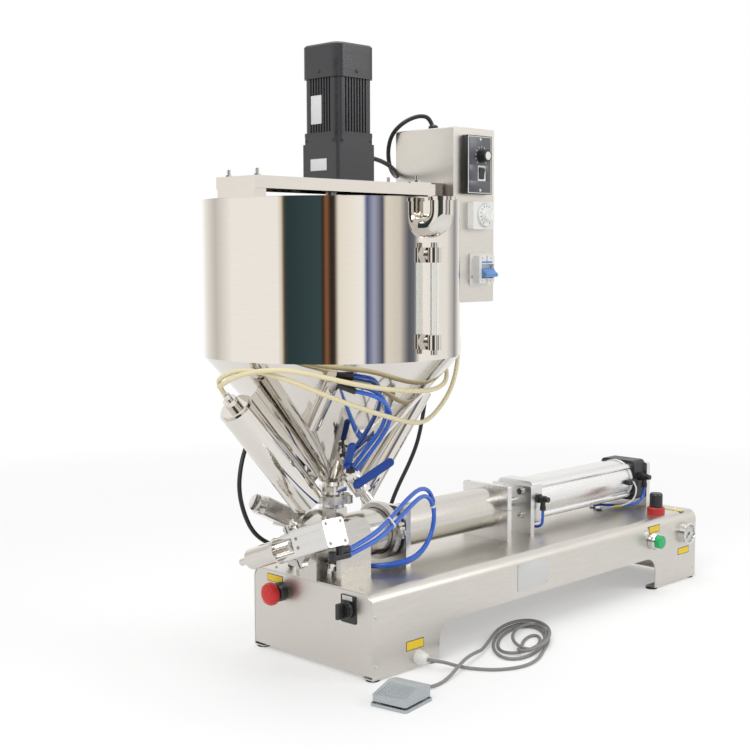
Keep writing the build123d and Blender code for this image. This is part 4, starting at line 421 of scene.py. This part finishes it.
def add_slab(bm, centre, size, bevel, turn=None):
    """Adds a block with rounded edges, its size and their radius in millimetres."""
    made = bmesh.ops.create_cube(bm, size=1.0)["verts"]
    bmesh.ops.scale(bm, verts=made, vec=Vector(size) * MM)
    edges = list({edge for vert in made for edge in vert.link_edges})
    if bevel:
        rounded = bmesh.ops.bevel(
            bm, geom=edges, offset=bevel * MM, segments=ROUNDING_STEPS, profile=0.5, affect="EDGES"
        )
        on_faces = {vert for face in rounded["faces"] for vert in face.verts}
        made = list(on_faces | {vert for vert in made if vert.is_valid})
    if turn is not None:
        bmesh.ops.transform(bm, matrix=turn, verts=made)
    bmesh.ops.translate(bm, verts=made, vec=centre)


def add_tie(bm, one, other, way, radius, thickness, width):
    """Adds a band pulled round two tubes that run side by side."""
    way = way.normalized()
    across = (other - one) - way * (other - one).dot(way)
    across.normalize()
    third = way.cross(across)
    rings = []
    for reach, shift in ring_outline(radius, radius + thickness, -width / 2, width / 2):
        ring = []
        for step in range(TIE_STEPS):
            turn = 2 * pi * (step + 0.5) / TIE_STEPS
            centre = other if cos(turn) > 0 else one
            outward = across * cos(turn) + third * sin(turn)
            ring.append(bm.verts.new(centre + (outward * reach + way * shift) * MM))
        rings.append(ring)
    for lower, upper in zip(rings, rings[1:] + rings[:1]):
        for step in range(TIE_STEPS):
            after = (step + 1) % TIE_STEPS
            bm.faces.new((lower[step], lower[after], upper[after], upper[step]))


def turned_piece(name, origin, axis, outline, finish, body="machine", ring_shaped=False, segments=48):
    """One turned piece."""
    bm = bmesh.new()
    add_turned(bm, origin, axis, outline, segments, ring_shaped)
    return dress(name, close_mesh(name, bm), finish, body)


def slabs_piece(name, slabs, finish, body="machine", bevel=0.0):
    """Blocks as one piece, each with its centre, its size and a turn if it has one."""
    bm = bmesh.new()
    for centre, size, *turn in slabs:
        add_slab(bm, centre, size, bevel, *turn)
    return dress(name, close_mesh(name, bm), finish, body)


def flat_piece(name, strips, y, depth, finish, bevel=0.0):
    """Strips that face the near side as one piece, each by its middle, its width and its height."""
    slabs = [(place(x, y, z), (width, depth, height)) for x, z, width, height in strips]
    return slabs_piece(name, slabs, finish, bevel=bevel)


def dial_marks(name, centre, inner, outer, count, sweep, finish, body="machine", width=0.8):
    """Straight marks round a dial that faces the near side, between two radii.

    They stand evenly over the sweep, in degrees, whose middle is at the top.
    """
    upward = Vector(UPWARD)
    rearward = Vector(REARWARD)
    slabs = []
    for step in range(count):
        turn = radians(-sweep / 2 + sweep * step / (count - 1))
        away = upward * cos(turn) + rearward * sin(turn)
        across = rearward * cos(turn) - upward * sin(turn)
        rotation = Matrix((across, away, Vector(NEARWARD))).transposed().to_4x4()
        spot = centre + away * (inner + outer) / 2 * MM
        slabs.append((spot, (width, outer - inner, MARK_THICKNESS), rotation))
    return slabs_piece(name, slabs, finish, body)


def cord_piece(name, route, diameter, finish, length, nodes, stiffness="medium"):
    """A cord on a smooth line whose control points are the route, in millimetres."""
    curve = bpy.data.curves.new(name, "CURVE")
    curve.dimensions = "3D"
    curve.bevel_depth = diameter / 2 * MM
    curve.bevel_resolution = 5
    curve.use_fill_caps = True
    curve.resolution_u = 6
    spline = curve.splines.new("NURBS")
    spline.points.add(len(route) - 1)
    for point, spot in zip(spline.points, route):
        point.co = (*place(*spot), 1)
    spline.order_u = 3
    spline.use_endpoint_u = True
    curve.materials.append(finishes[finish])
    piece = bpy.data.objects.new(name, curve)
    bpy.context.scene.collection.objects.link(piece)
    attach(piece, "machine")
    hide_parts(*nodes)


# Details that stand on the solids. Their numbers are millimetres, and a turned form's outline is a
# radius and a height at each corner. The faces of the control box's modules stand at module_y, and the
# cord of the pedal leaves the base at its gland.
module_y = -84
face_thickness = 1.2
face_y = module_y - face_thickness / 2
gland_x = 112
gland_z = 20


def build_speed_controller():
    """Dark face round the rocker, rim of the case, marks and screws, and the pale cap of the knob."""
    middle_x = 349
    rocker_z = 860
    knob_x = 353
    knob_z = 891
    knob_depth = 16.4
    case_z = 875
    case_wall = 1.4
    case_depth = 12.6
    case_y = -78.2
    rounding = 0.4
    # The face is cut round the rocker: above it, below it, and to its left and right
    face_strips = (
        (middle_x, 899.5, 60, 51),
        (middle_x, 835.5, 60, 21),
        (331, rocker_z, 24, 29),
        (372.5, rocker_z, 13, 29),
    )
    case_strips = (
        (315.6, case_z, case_wall, 105.4),
        (382.4, case_z, case_wall, 105.4),
        (middle_x, 927.4, 67, case_wall),
        (middle_x, 822.6, 67, case_wall),
    )
    cap_outline = ((0, 0), (7.6, 0), (7.6, 0.8), (6.8, 1.4), (0, 1.4))
    head_outline = ((0, 0), (3, 0), (3, 0.7), (2.2, 1.5), (0, 1.5))
    marks_spot = place(knob_x, face_y - 0.7, knob_z)
    cap_spot = place(knob_x, module_y - knob_depth, knob_z)
    flat_piece("speed_face", face_strips, face_y, face_thickness, "module_grey", rounding)
    flat_piece("speed_case", case_strips, case_y, case_depth, "screw_dark", rounding)
    dial_marks("speed_marks", marks_spot, 15, 19, 11, 270, "white_band")
    turned_piece("speed_cap", cap_spot, NEARWARD, cap_outline, "gauge_chrome", "speed_dial")
    for name, height in (("upper", 921), ("lower", 829)):
        spot = place(middle_x, face_y - 0.5, height)
        turned_piece(f"speed_screw_{name}", spot, NEARWARD, head_outline, "screw_steel")


def build_thermostat():
    """Marks on the dial and a thin ring round it."""
    dial_x = 362
    dial_z = 784
    marks_spot = place(dial_x, -90.5, dial_z)
    ring_spot = place(dial_x, -86, dial_z)
    dial_marks("thermostat_marks", marks_spot, 14.5, 18.5, 13, 300, "print_black", "thermostat")
    turned_piece("thermostat_ring", ring_spot, NEARWARD, ring_outline(20.6, 22.4, -0.4, 1.6),
                 "pale_plate", ring_shaped=True)


def build_breaker():
    """Terminal screws, the screw of the plate, the seam between the poles and a bare blue label."""
    middle_x = 366.5
    pole_spacing = 25
    terminal_y = -87.8
    print_y = -88.1
    terminal_head = ((0, 0), (2.6, 0), (2.6, 0.5), (1.4, 0.7), (0, 0.7))
    plate_head = ((0, 0), (2.8, 0), (2.6, 1.2), (0, 1.6))
    bm = bmesh.new()
    for x in (middle_x - pole_spacing / 2, middle_x + pole_spacing / 2):
        for z in (663.5, 705.5):
            add_turned(bm, place(x, terminal_y, z), NEARWARD, terminal_head, 20)
    add_turned(bm, place(339.5, -73.8, 671), NEARWARD, plate_head, 20)
    dress("breaker_screws", close_mesh("breaker_screws", bm), "screw_steel")
    seam = ((middle_x, 703, 0.9, 13), (middle_x, 663, 0.9, 7))
    label = ((middle_x, 697.5, 30, 3.2),)
    flat_piece("breaker_seam", seam, print_y, MARK_THICKNESS, "print_black")
    flat_piece("breaker_label", label, print_y, MARK_THICKNESS, "blue_toggle")


def build_gauge():
    """Chrome case, white dial with marks and a clear glass over the needle."""
    from_rear_end = 43
    spot = place(base_length - from_rear_end, -half_width, 105)
    dial_radius = 18.9
    dial_front = 8.7
    case_outline = (
        (0, 0), (20.5, 0), (20.5, 9.5), (22.9, 10.5), (22.9, 12.2), (21.5, 13), (19.6, 13), (19, 11.6),
        (19, 3), (0, 3),
    )
    dial_outline = rod_outline(dial_radius, 3, dial_front)
    hub_outline = ((0, dial_front), (2.4, dial_front), (2.4, 10.6), (0, 11))
    glass_outline = ((0, 11.4), (dial_radius, 11.4), (dial_radius, 12.1), (0, 12.3))
    case = turned_piece("gauge_case", spot, NEARWARD, case_outline, "gauge_chrome", segments=64)
    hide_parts("pressure_gauge")
    turned_piece("gauge_dial", spot, NEARWARD, dial_outline, "dial_white", segments=64)
    marks_spot = spot + Vector(NEARWARD) * (dial_front + 0.1) * MM
    dial_marks("gauge_marks", marks_spot, 13.8, 17.4, 11, 270, "print_black", width=0.7)
    turned_piece("gauge_hub", spot, NEARWARD, hub_outline, "print_black")
    turned_piece("gauge_glass", spot, NEARWARD, glass_outline, "clear_glass", segments=64)


def build_labels():
    """Yellow stickers with a dark rim and nothing on them, and the bare name plates."""
    near_y = -half_width
    # Each sticker by its middle and its size, which is 0 in the direction it faces
    stickers = (
        ("start_sticker", (845, near_y, 132), (41, 0, 15)),
        ("gauge_sticker", (961, near_y, 67), (44, 0, 15)),
        ("gland_sticker", (103, near_y, 44.5), (44, 0, 17)),
        ("stop_sticker", (0, 94, 135), (0, 42, 14)),
        ("regulator_sticker", (972, -122, base_top), (14, 42, 0)),
    )
    rim_depth = 0.5
    face_depth = 0.9
    both_rims = 2.4
    for name, spot, size in stickers:
        rim = [length or rim_depth for length in size]
        face = [length - both_rims if length else face_depth for length in size]
        slabs_piece(f"{name}_rim", ((place(*spot), rim),), "print_black")
        slabs_piece(name, ((place(*spot), face),), "label_yellow")
    plate_x = 430
    plate_z = 109
    plate_width = 92
    plate_height = 52
    # How far the rivets stand from the middle of the plate
    rivet_x = 42
    rivet_z = 22
    rivet_head = ((0, 0), (1.8, 0), (1.3, 0.7), (0, 0.9))
    plate = ((plate_x, plate_z, plate_width, plate_height),)
    flat_piece("name_plate", plate, near_y - 0.4, 0.9, "name_plate_silver", 0.3)
    bm = bmesh.new()
    for x in (plate_x - rivet_x, plate_x + rivet_x):
        for z in (plate_z - rivet_z, plate_z + rivet_z):
            add_turned(bm, place(x, near_y - 0.8, z), NEARWARD, rivet_head, 16)
    dress("name_plate_rivets", close_mesh("name_plate_rivets", bm), "screw_steel")
    # Each front plate by its middle, its size, its finish and how far its edges are rounded
    front_plates = {
        "selector_label": ((-2.2, -94, 135), (0.6, 24, 8), "white_band", 0.2),
        "motor_plate": ((29.6, 9.5, 957.5), (1.2, 26, 48), "pale_plate", 0.4),
        "gearbox_plate": ((27.3, 2, 864.5), (0.9, 40, 20), "pale_plate", 0.3),
    }
    for name, (spot, size, finish, rounding) in front_plates.items():
        slabs_piece(name, ((place(*spot), size),), finish, bevel=rounding)


def build_motor_details():
    """Screws of the fan cover and of the gearbox's flange, and the gland where the cable goes in."""
    motor_x = 72.5
    fan_cover = place(motor_x, 0, 1021)
    flange = place(motor_x, 0, 906)
    # How far from the motor's axis the screws start, and how far the flange's stand to each side
    fan_screw_reach = 45.6
    flange_screw_reach = 44.8
    flange_screw_shift = 33
    fan_head = ((0, 0), (4, 0), (3.8, 1), (2.4, 1.8), (0, 1.8))
    flange_head = ((0, 0), (2.6, 0), (2.4, 0.9), (0, 1.2))
    gland_outline = ((4.2, 0), (11, 0), (11, 3), (9, 3.6), (9, 9), (5.4, 12), (4.2, 12))
    bm = bmesh.new()
    for turn in range(4):
        way = Vector((cos(turn * pi / 2), sin(turn * pi / 2), 0))
        cross = Vector((-way.y, way.x, 0))
        add_turned(bm, fan_cover + way * fan_screw_reach * MM, way, fan_head, 20)
        for side_shift in (-flange_screw_shift, flange_screw_shift):
            spot = flange + (way * flange_screw_reach + cross * side_shift) * MM
            add_turned(bm, spot, way, flange_head, 16)
    dress("motor_screws", close_mesh("motor_screws", bm), "screw_dark")
    turned_piece("box_gland", place(337, 20, 942), UPWARD, gland_outline, "black_fittings",
                 ring_shaped=True)


def build_nozzle_fittings():
    """Push-in elbows of the nozzle's cylinder with their release rings, and the cone's fittings."""
    elbow_y = -160
    elbow_mouth = -62
    elbow_foot = 6
    ring_x = elbow_mouth - 0.2
    upright_outline = ((0, 0), (6, 0), (6.4, 1), (6.4, 16), (0, 16))
    release_ring = ((4.1, 0), (5.6, 0), (5.6, 3), (5, 4), (4.1, 4))
    for name, x, z in (("upper", -82, 240), ("lower", -98, 230.5)):
        bm = bmesh.new()
        add_turned(bm, place(x, elbow_y, z - elbow_foot), UPWARD, upright_outline, 28)
        add_turned(bm, place(x, elbow_y, z), REARWARD, rod_outline(5.8, 0, elbow_mouth - x), 28)
        dress(f"nozzle_elbow_{name}", close_mesh(f"nozzle_elbow_{name}", bm), "black_fittings")
        turned_piece(f"nozzle_ring_{name}", place(ring_x, elbow_y, z), REARWARD, release_ring,
                     "blue_tube", ring_shaped=True)
    # The elbows of the small drum run from it to the ends of the two tubes
    start = place(-80, -157, 506)
    for name, end in (("inner", place(-58, -168, 505)), ("outer", place(-60, -172.5, 496))):
        reach = (end - start).length / MM
        turned_piece(f"knocker_elbow_{name}", start, end - start, rod_outline(5, 0, reach + 2),
                     "black_fittings")
    slabs_piece("tube_tee", ((place(38, -62, 346), (14, 10, 13)),), "black_fittings", bevel=1.5)


def build_ties_and_sleeves():
    """Ties of the paired tubes, strap of the barrel, sleeve of the sensor lead, gland and bezel."""
    # Each tie by the middles of the two tubes and the direction in which they run
    ties = (
        ((69.3, -122.4, 261.9), (72.1, -129.2, 252.8), (67, 23.5, 18.5)),
        ((227.5, -80, 268), (217.5, -89, 260.5), (11, 0, -34)),
    )
    bm = bmesh.new()
    for one, other, way in ties:
        add_tie(bm, place(*one), place(*other), Vector(way), radius=4.1, thickness=1.1, width=3.6)
    dress("tube_ties", close_mesh("tube_ties", bm), "white_band")
    gland_outline = (
        (3.2, 0), (13, 0), (13, 7.3), (10.5, 7.6), (10.5, 15.2), (6.6, 22.4), (3.2, 22.4),
    )
    bezel_outline = ((14.2, 0.5), (18.4, 0.5), (18.4, 12), (16.6, 15.4), (14.2, 15.4))
    turned_piece("barrel_strap", place(916, 0, 211), REARWARD, ring_outline(42.7, 44.6, 0, 8),
                 "white_band", ring_shaped=True, segments=72)
    turned_piece("sensor_sleeve", place(885, -41, 161.2), (-15, 20, -4), rod_outline(2.6, 0, 15),
                 "yellow_sleeve", segments=20)
    turned_piece("cord_gland", place(gland_x, -half_width, gland_z), NEARWARD, gland_outline,
                 "white_band", ring_shaped=True)
    turned_piece("start_bezel", place(837, -half_width, 108), NEARWARD, bezel_outline,
                 "gauge_chrome", ring_shaped=True)


build_speed_controller()
build_thermostat()
build_breaker()
build_gauge()
build_labels()
build_motor_details()
build_nozzle_fittings()
build_ties_and_sleeves()

# Camera at the photograph's place, looking the photograph's way
camera_data = bpy.data.cameras.new("camera")
camera_data.sensor_width = 36
camera_data.lens = 62.1
camera_data.clip_end = 60
camera = bpy.data.objects.new("camera", camera_data)
camera.location = place(-1485.0, -1636.8, 711.7)
camera.rotation_euler = (radians(84.69), radians(0.14), radians(-45.16))
bpy.context.scene.collection.objects.link(camera)
bpy.context.scene.camera = camera
bpy.context.scene.view_settings.view_transform = "Standard"

# Cords: the routes are the control points of their lines, in millimetres
gland_tip = -half_width - 22
bush_z = 10
cord_out_route = [
    (gland_x, gland_tip, gland_z), (115, gland_tip - 13, gland_z), (131, -195, 16), (147, -202, 9),
    (160, -211, 4), (171, -230, 3), (188, -256, 3), (217, -275, 3), (250, -282, 3), (282, -276, 3),
    (307, -266, 3),
]
cord_back_route = [
    (250, -180, 8), (230, -187, 11), (208, -194, 13), (184, -202, 14.5), (160, -212, 14.5),
    (136, -221, 12), (110, -229, 6), (84, -236, 3), (62, -240, 3), (42, -241.5, 5),
    (26, -242, bush_z), (17.4, -242, bush_z),
]
# Each loose turn of the coil: its centre, long and short half axis, heading in degrees and height
coil_turns = (
    (352, -187, 119, 50, 31, 3.2),
    (350, -189, 101, 42, 30, 3.2),
    (375, -188, 76, 31, 33, 9.6),
    (357, -206, 48, 15, 29, 3.2),
    (352, -186, 111, 53, 31, 16.0),
)
# How many points a turn has, and in degrees where the first one is and how far the last turn goes
coil_steps = 14
coil_start = 248
coil_last = 205
# Share of a turn that keeps its own size before it eases into the next
coil_hold = 0.62
# Height at which the cord leaves the last turn, and the share of a turn by which it is there
coil_exit_height = 9
coil_exit_share = 1 / 1.8


def coil_route():
    """The points of the coil, turn after turn, each turn easing into the next at its end."""
    points = []
    total = (len(coil_turns) - 1) * 360 + coil_last
    count = int(total / 360 * coil_steps)
    for step in range(count + 1):
        swept = total * step / count
        index = int(swept // 360)
        share = swept / 360 - index
        now = coil_turns[index]
        after = coil_turns[min(index + 1, len(coil_turns) - 1)]
        ease = min(1, max(0, (share - coil_hold) / (1 - coil_hold)))
        ease = ease * ease * (3 - 2 * ease)
        blend = [one + (other - one) * ease for one, other in zip(now, after)]
        x, y, long_half, short_half, heading, height = blend
        if index == len(coil_turns) - 1:
            height += (coil_exit_height - height) * min(1, share / coil_exit_share)
        turn = radians(coil_start + swept)
        along = long_half * cos(turn)
        across = short_half * sin(turn)
        way = radians(heading)
        spot_x = x + along * cos(way) - across * sin(way)
        spot_y = y + along * sin(way) + across * cos(way)
        points.append((spot_x, spot_y, height))
    return points


pedal_route = cord_out_route + coil_route() + cord_back_route

gearbox_high = limits("gearbox")[1]
box_low, box_high = limits("control_box")
motor_route = [
    (gearbox_high[0], 6, 884), (152, 2, 884), (193, 2, 875), (230, 16, 864), (260, 38, 856), (281, 66, 858),
    (287, 86, 876), (284, 88, 908), (281, 74, 938), (294, 54, 960), (318, 36, 972), (334, 24, 966),
    (337, 20, box_high[2] + 4),
]

lead_start_x = 54.5
heater_tip = 239.6
lead_height = 489.1
heater_route = [
    (lead_start_x - heater_tip, 0, lead_height), (lead_start_x - heater_tip - 15, -3, lead_height + 17),
    (-206, -18, 519), (-192, -46, 531), (-168, -84, 527), (-136, -120, 511), (-98, -152, 489),
    (-45, -173, 467), (14, -186, 447), (80, -168, 431), (154, -132, 424), (214, -108, 440),
    (262, -94, 470), (297, -78, 514), (322, -58, 562), (336, -36, 602), (338, -28, box_low[2] + 5),
]
jumper_route = [
    (lead_start_x + heater_tip, 0, lead_height), (lead_start_x + heater_tip + 13, -6, lead_height + 15),
    (307, -30, 512), (278, -66, 506), (236, -106, 497), (186, -145, 488), (124, -175, 484),
    (52, -195, 489), (-19, -199, 498), (-72, -178, 509), (-118, -142, 524), (-158, -108, 533),
    (-190, -70, 529), (-208, -36, 514), (-203, -10, 502),
]

power_front_route = [
    (45, 100, base_top + 4), (42, 101, 168), (22, 104, 186), (-10, 106, 200), (-41, 105, 223),
    (-57, 110, 258), (-60, 120, 298), (-53, 124, 336), (-34, 132, 372), (2, 146, 402), (50, 162, 430),
    (104, 172, 456), (160, 170, 482), (212, 152, 508), (258, 122, 534), (298, 84, 560), (328, 48, 590),
    (340, 22, box_low[2] + 5),
]
power_rear_route = [
    (288, 100, base_top + 4), (289, 100, 178), (300, 100, 220), (324, 100, 260), (354, 100, 298),
    (379, 99, 340), (388, 94, 388), (385, 82, 438), (376, 64, 490), (365, 42, 542), (356, 22, 590),
    (354, 10, box_low[2] + 5),
]

loop_upper_route = [
    (-58, -160, 240), (0, -147, 246), (70, -122, 261), (134, -100, 283), (190, -84, 298), (222, -80, 286),
    (233, -80, 250), (225, -80, 206), (198, -80, 176), (162, -78, 164), (130, -62, 160), (110, -32, 160),
    (103, 1, base_top + 7),
]
loop_lower_route = [
    (-58, -160, 230.5), (3, -151, 237), (73, -129, 252), (136, -108.5, 273), (186, -93, 286), (212, -89, 275),
    (223, -89, 246), (216, -89, 212), (192, -89, 185), (160, -87, 172), (124, -70, 166), (101, -36, 162),
    (93, -1, base_top + 7),
]
cone_inner_route = [
    (-58, -168, 505), (-34, -178, 500), (-8, -182, 486), (18, -170, 464), (36, -146, 436), (42, -118, 406),
    (42, -90, 378), (39, -68, 352),
]
cone_outer_route = [
    (-60, -172.5, 496), (-37, -182.5, 491), (-9.5, -188.5, 478), (19, -177, 457), (39.5, -152, 429),
    (44, -124, 399.5), (44, -96, 371), (40, -74, 346),
]

flow_y = limits("air_caps")[0][1] - 12.5
flow_end = 196
flow_front_x = 584
flow_rear_x = 952
air_front_route = [
    (flow_front_x, flow_y, flow_end), (flow_front_x, flow_y, 179), (flow_front_x + 1, -54, 166),
    (flow_front_x + 3, -42, 160), (flow_front_x + 5, -26, 158.5), (flow_front_x + 6, -12, 158),
    (flow_front_x + 7, -6, base_top + 5),
]
air_rear_route = [
    (flow_rear_x, flow_y, flow_end), (flow_rear_x - 3, flow_y, 181), (flow_rear_x - 11, -55, 167),
    (922, -50, 160.5), (900, -34, 159), (884, -8, 158.5), (873, 14, 158), (870, 22, base_top + 5),
]
sensor_route = [
    (912, -53, 213), (911, -61, 206), (907, -66, 191), (901, -61, 173), (888, -46, 162), (873, -25, 157.5),
    (862, -9, 156.5), (858, -4, base_top + 4.5),
]

# Each cord: its route, diameter in millimetres, finish, real length in metres, the nodes that it
# stands for, and its stiffness where it isn't medium
cords = {
    "pedal_cord_line": (pedal_route, 6, "grey_cord", 2.47, ("pedal_cord", "pedal_coil")),
    "motor_cable_line": (motor_route, 8, "black_cord", 0.38, ("motor_cable",)),
    "heater_lead_line": (heater_route, 8, "cream_cord", 0.81, ("heater_leads",)),
    "jumper_lead_line": (jumper_route, 8, "cream_cord", 0.71, ("heater_leads",)),
    "power_cable_front_line": (power_front_route, 8, "black_cord", 0.78, ("power_cable_front",)),
    "power_cable_rear_line": (power_rear_route, 8, "black_cord", 0.52, ("power_cable_rear",)),
    "loop_tube_upper": (loop_upper_route, 8, "blue_tube", 0.56, ("loop_tubes",)),
    "loop_tube_lower": (loop_lower_route, 8, "blue_tube", 0.535, ("loop_tubes",)),
    "cone_tube_inner": (cone_inner_route, 7, "blue_tube", 0.245, ("cone_tubes",)),
    "cone_tube_outer": (cone_outer_route, 7, "blue_tube", 0.245, ("cone_tubes",)),
    "air_tube_front_line": (air_front_route, 6, "blue_tube", 0.08, ("air_tubes",)),
    "air_tube_rear_line": (air_rear_route, 6, "blue_tube", 0.14, ("air_tubes",)),
    "sensor_lead_line": (sensor_route, 3.2, "white_band", 0.12, ("air_tubes",), "limp"),
}
for name, facts in cords.items():
    cord_piece(name, *facts)

# Floor, backdrop and light. The floor lies just under the feet, its size and its drop in metres. The
# levels are those of the room that shines in metal and of the soft light on everything else.
FLOOR_SIZE = 3.2
FLOOR_DROP = 0.0003
ROOM_LEVEL = 1.15
SOFT_LEVEL = 0.62


def build_floor():
    """A pale floor that turns plain white away from the machine."""
    bm = bmesh.new()
    bmesh.ops.create_grid(bm, x_segments=8, y_segments=8, size=FLOOR_SIZE)
    mesh = bpy.data.meshes.new("floor")
    bm.to_mesh(mesh)
    bm.free()
    floor = bpy.data.objects.new("floor", mesh)
    floor.location = (0, 0, -FLOOR_DROP)
    bpy.context.scene.collection.objects.link(floor)
    material = bpy.data.materials.new("floor_white")
    material.use_nodes = True
    tree = material.node_tree
    shader = tree.nodes["Principled BSDF"]
    output = tree.nodes["Material Output"]
    shader.inputs["Base Color"].default_value = (0.90, 0.90, 0.90, 1)
    shader.inputs["Roughness"].default_value = 0.9
    shader.inputs["Specular IOR Level"].default_value = 0.1
    white = add_node(tree, "ShaderNodeEmission", {}, {"Color": (1, 1, 1, 1), "Strength": 1.0})
    spot = add_node(tree, "ShaderNodeTexCoord")
    reach = add_node(tree, "ShaderNodeVectorMath", {"operation": "LENGTH"})
    fade = add_node(
        tree, "ShaderNodeMapRange", {}, {"From Min": 0.9, "From Max": 2.6, "To Min": 0.35, "To Max": 1.0}
    )
    mix = add_node(tree, "ShaderNodeMixShader")
    link = tree.links.new
    link(spot.outputs["Object"], reach.inputs[0])
    link(reach.outputs["Value"], fade.inputs["Value"])
    link(fade.outputs["Result"], mix.inputs[0])
    link(shader.outputs[0], mix.inputs[1])
    link(white.outputs[0], mix.inputs[2])
    link(mix.outputs[0], output.inputs["Surface"])
    mesh.materials.append(material)


def build_world():
    """White to the camera, soft light on the machine, and a room of pale and dark bands in metal."""
    world = bpy.data.worlds.new("studio")
    bpy.context.scene.world = world
    world.use_nodes = True
    tree = world.node_tree
    tree.nodes.clear()
    link = tree.links.new
    output = add_node(tree, "ShaderNodeOutputWorld")
    spot = add_node(tree, "ShaderNodeTexCoord")
    split = add_node(tree, "ShaderNodeSeparateXYZ")
    heading = add_node(tree, "ShaderNodeMath", {"operation": "ARCTAN2"})
    unit = add_node(
        tree, "ShaderNodeMapRange", {}, {"From Min": -pi, "From Max": pi, "To Min": 0.0, "To Max": 1.0}
    )
    bands = add_node(tree, "ShaderNodeValToRGB")
    # Bands of the room, each by where its colour stands on the way round, from 0 to 1
    stops = (
        (0.0, (0.95, 0.92, 0.86)), (0.008, (0.80, 0.72, 0.60)), (0.014, (0.10, 0.08, 0.06)),
        (0.022, (0.028, 0.05, 0.055)), (0.104, (0.045, 0.075, 0.085)), (0.110, (0.04, 0.02, 0.012)),
        (0.118, (0.30, 0.13, 0.06)), (0.127, (0.025, 0.02, 0.02)), (0.138, (0.06, 0.04, 0.03)),
        (0.146, (0.92, 0.87, 0.78)), (0.19, (1.0, 0.97, 0.92)), (0.206, (1.0, 1.0, 1.0)),
        (0.213, (0.05, 0.08, 0.22)), (0.232, (0.42, 0.44, 0.58)), (0.254, (0.07, 0.07, 0.12)),
        (0.263, (0.86, 0.80, 0.71)), (0.30, (0.72, 0.68, 0.62)), (0.315, (0.30, 0.29, 0.29)),
        (0.326, (0.11, 0.12, 0.15)), (0.343, (0.17, 0.18, 0.21)), (0.36, (1.0, 0.98, 0.95)),
        (0.47, (0.9, 0.88, 0.85)), (0.52, (0.30, 0.30, 0.31)), (0.56, (0.85, 0.83, 0.80)),
        (0.70, (1.0, 0.99, 0.97)), (0.79, (0.62, 0.60, 0.57)), (0.86, (1.0, 0.98, 0.95)),
    )
    ramp = bands.color_ramp
    while len(ramp.elements) < len(stops):
        ramp.elements.new(0.5)
    for element, (position, level) in zip(ramp.elements, stops):
        element.position = position
        element.color = (*level, 1)
    upward = add_node(
        tree, "ShaderNodeMapRange", {}, {"From Min": 0.25, "From Max": 0.75, "To Min": 0.0, "To Max": 1.0}
    )
    overhead = add_node(tree, "ShaderNodeMix", {"data_type": "RGBA"})
    overhead.inputs[COLOUR_B].default_value = (1, 1, 1, 1)
    room = add_node(tree, "ShaderNodeBackground", {}, {"Strength": ROOM_LEVEL})
    soft = add_node(tree, "ShaderNodeBackground", {}, {"Color": (1, 1, 1, 1), "Strength": SOFT_LEVEL})
    white = add_node(tree, "ShaderNodeBackground", {}, {"Color": (1, 1, 1, 1), "Strength": 1.0})
    path = add_node(tree, "ShaderNodeLightPath")
    in_metal = add_node(tree, "ShaderNodeMixShader")
    in_view = add_node(tree, "ShaderNodeMixShader")
    see_through = add_node(tree, "ShaderNodeMath", {"operation": "MAXIMUM"})
    link(spot.outputs["Generated"], split.inputs[0])
    link(split.outputs["Y"], heading.inputs[0])
    link(split.outputs["X"], heading.inputs[1])
    link(heading.outputs[0], unit.inputs["Value"])
    link(unit.outputs["Result"], bands.inputs["Fac"])
    link(split.outputs["Z"], upward.inputs["Value"])
    link(upward.outputs["Result"], overhead.inputs[0])
    link(bands.outputs["Color"], overhead.inputs[COLOUR_A])
    link(overhead.outputs[COLOUR_RESULT], room.inputs["Color"])
    link(path.outputs["Is Glossy Ray"], in_metal.inputs[0])
    link(soft.outputs[0], in_metal.inputs[1])
    link(room.outputs[0], in_metal.inputs[2])
    link(path.outputs["Is Camera Ray"], see_through.inputs[0])
    link(path.outputs["Is Transmission Ray"], see_through.inputs[1])
    link(see_through.outputs[0], in_view.inputs[0])
    link(in_metal.outputs[0], in_view.inputs[1])
    link(white.outputs[0], in_view.inputs[2])
    link(in_view.outputs[0], output.inputs["Surface"])


def build_light(name, spot, target, size, power):
    """A soft square lamp that looks at the machine."""
    data = bpy.data.lights.new(name, "AREA")
    data.shape = "SQUARE"
    data.size = size
    data.energy = power
    lamp = bpy.data.objects.new(name, data)
    lamp.location = spot
    lamp.rotation_euler = (Vector(target) - Vector(spot)).to_track_quat("-Z", "Y").to_euler()
    bpy.context.scene.collection.objects.link(lamp)


build_floor()
build_world()
# Each lamp: its place and what it looks at, in metres, its side in metres and its power in watts
lamps = {
    "key_light": ((-2.6, -1.0, 2.6), (0, 0, 0.4), 1.6, 46),
    "side_light": ((1.6, -2.8, 2.2), (0, 0, 0.4), 1.4, 30),
    "top_light": ((0.2, 0.4, 3.2), (0, 0, 0.5), 2.0, 30),
}
for name, facts in lamps.items():
    build_light(name, *facts)
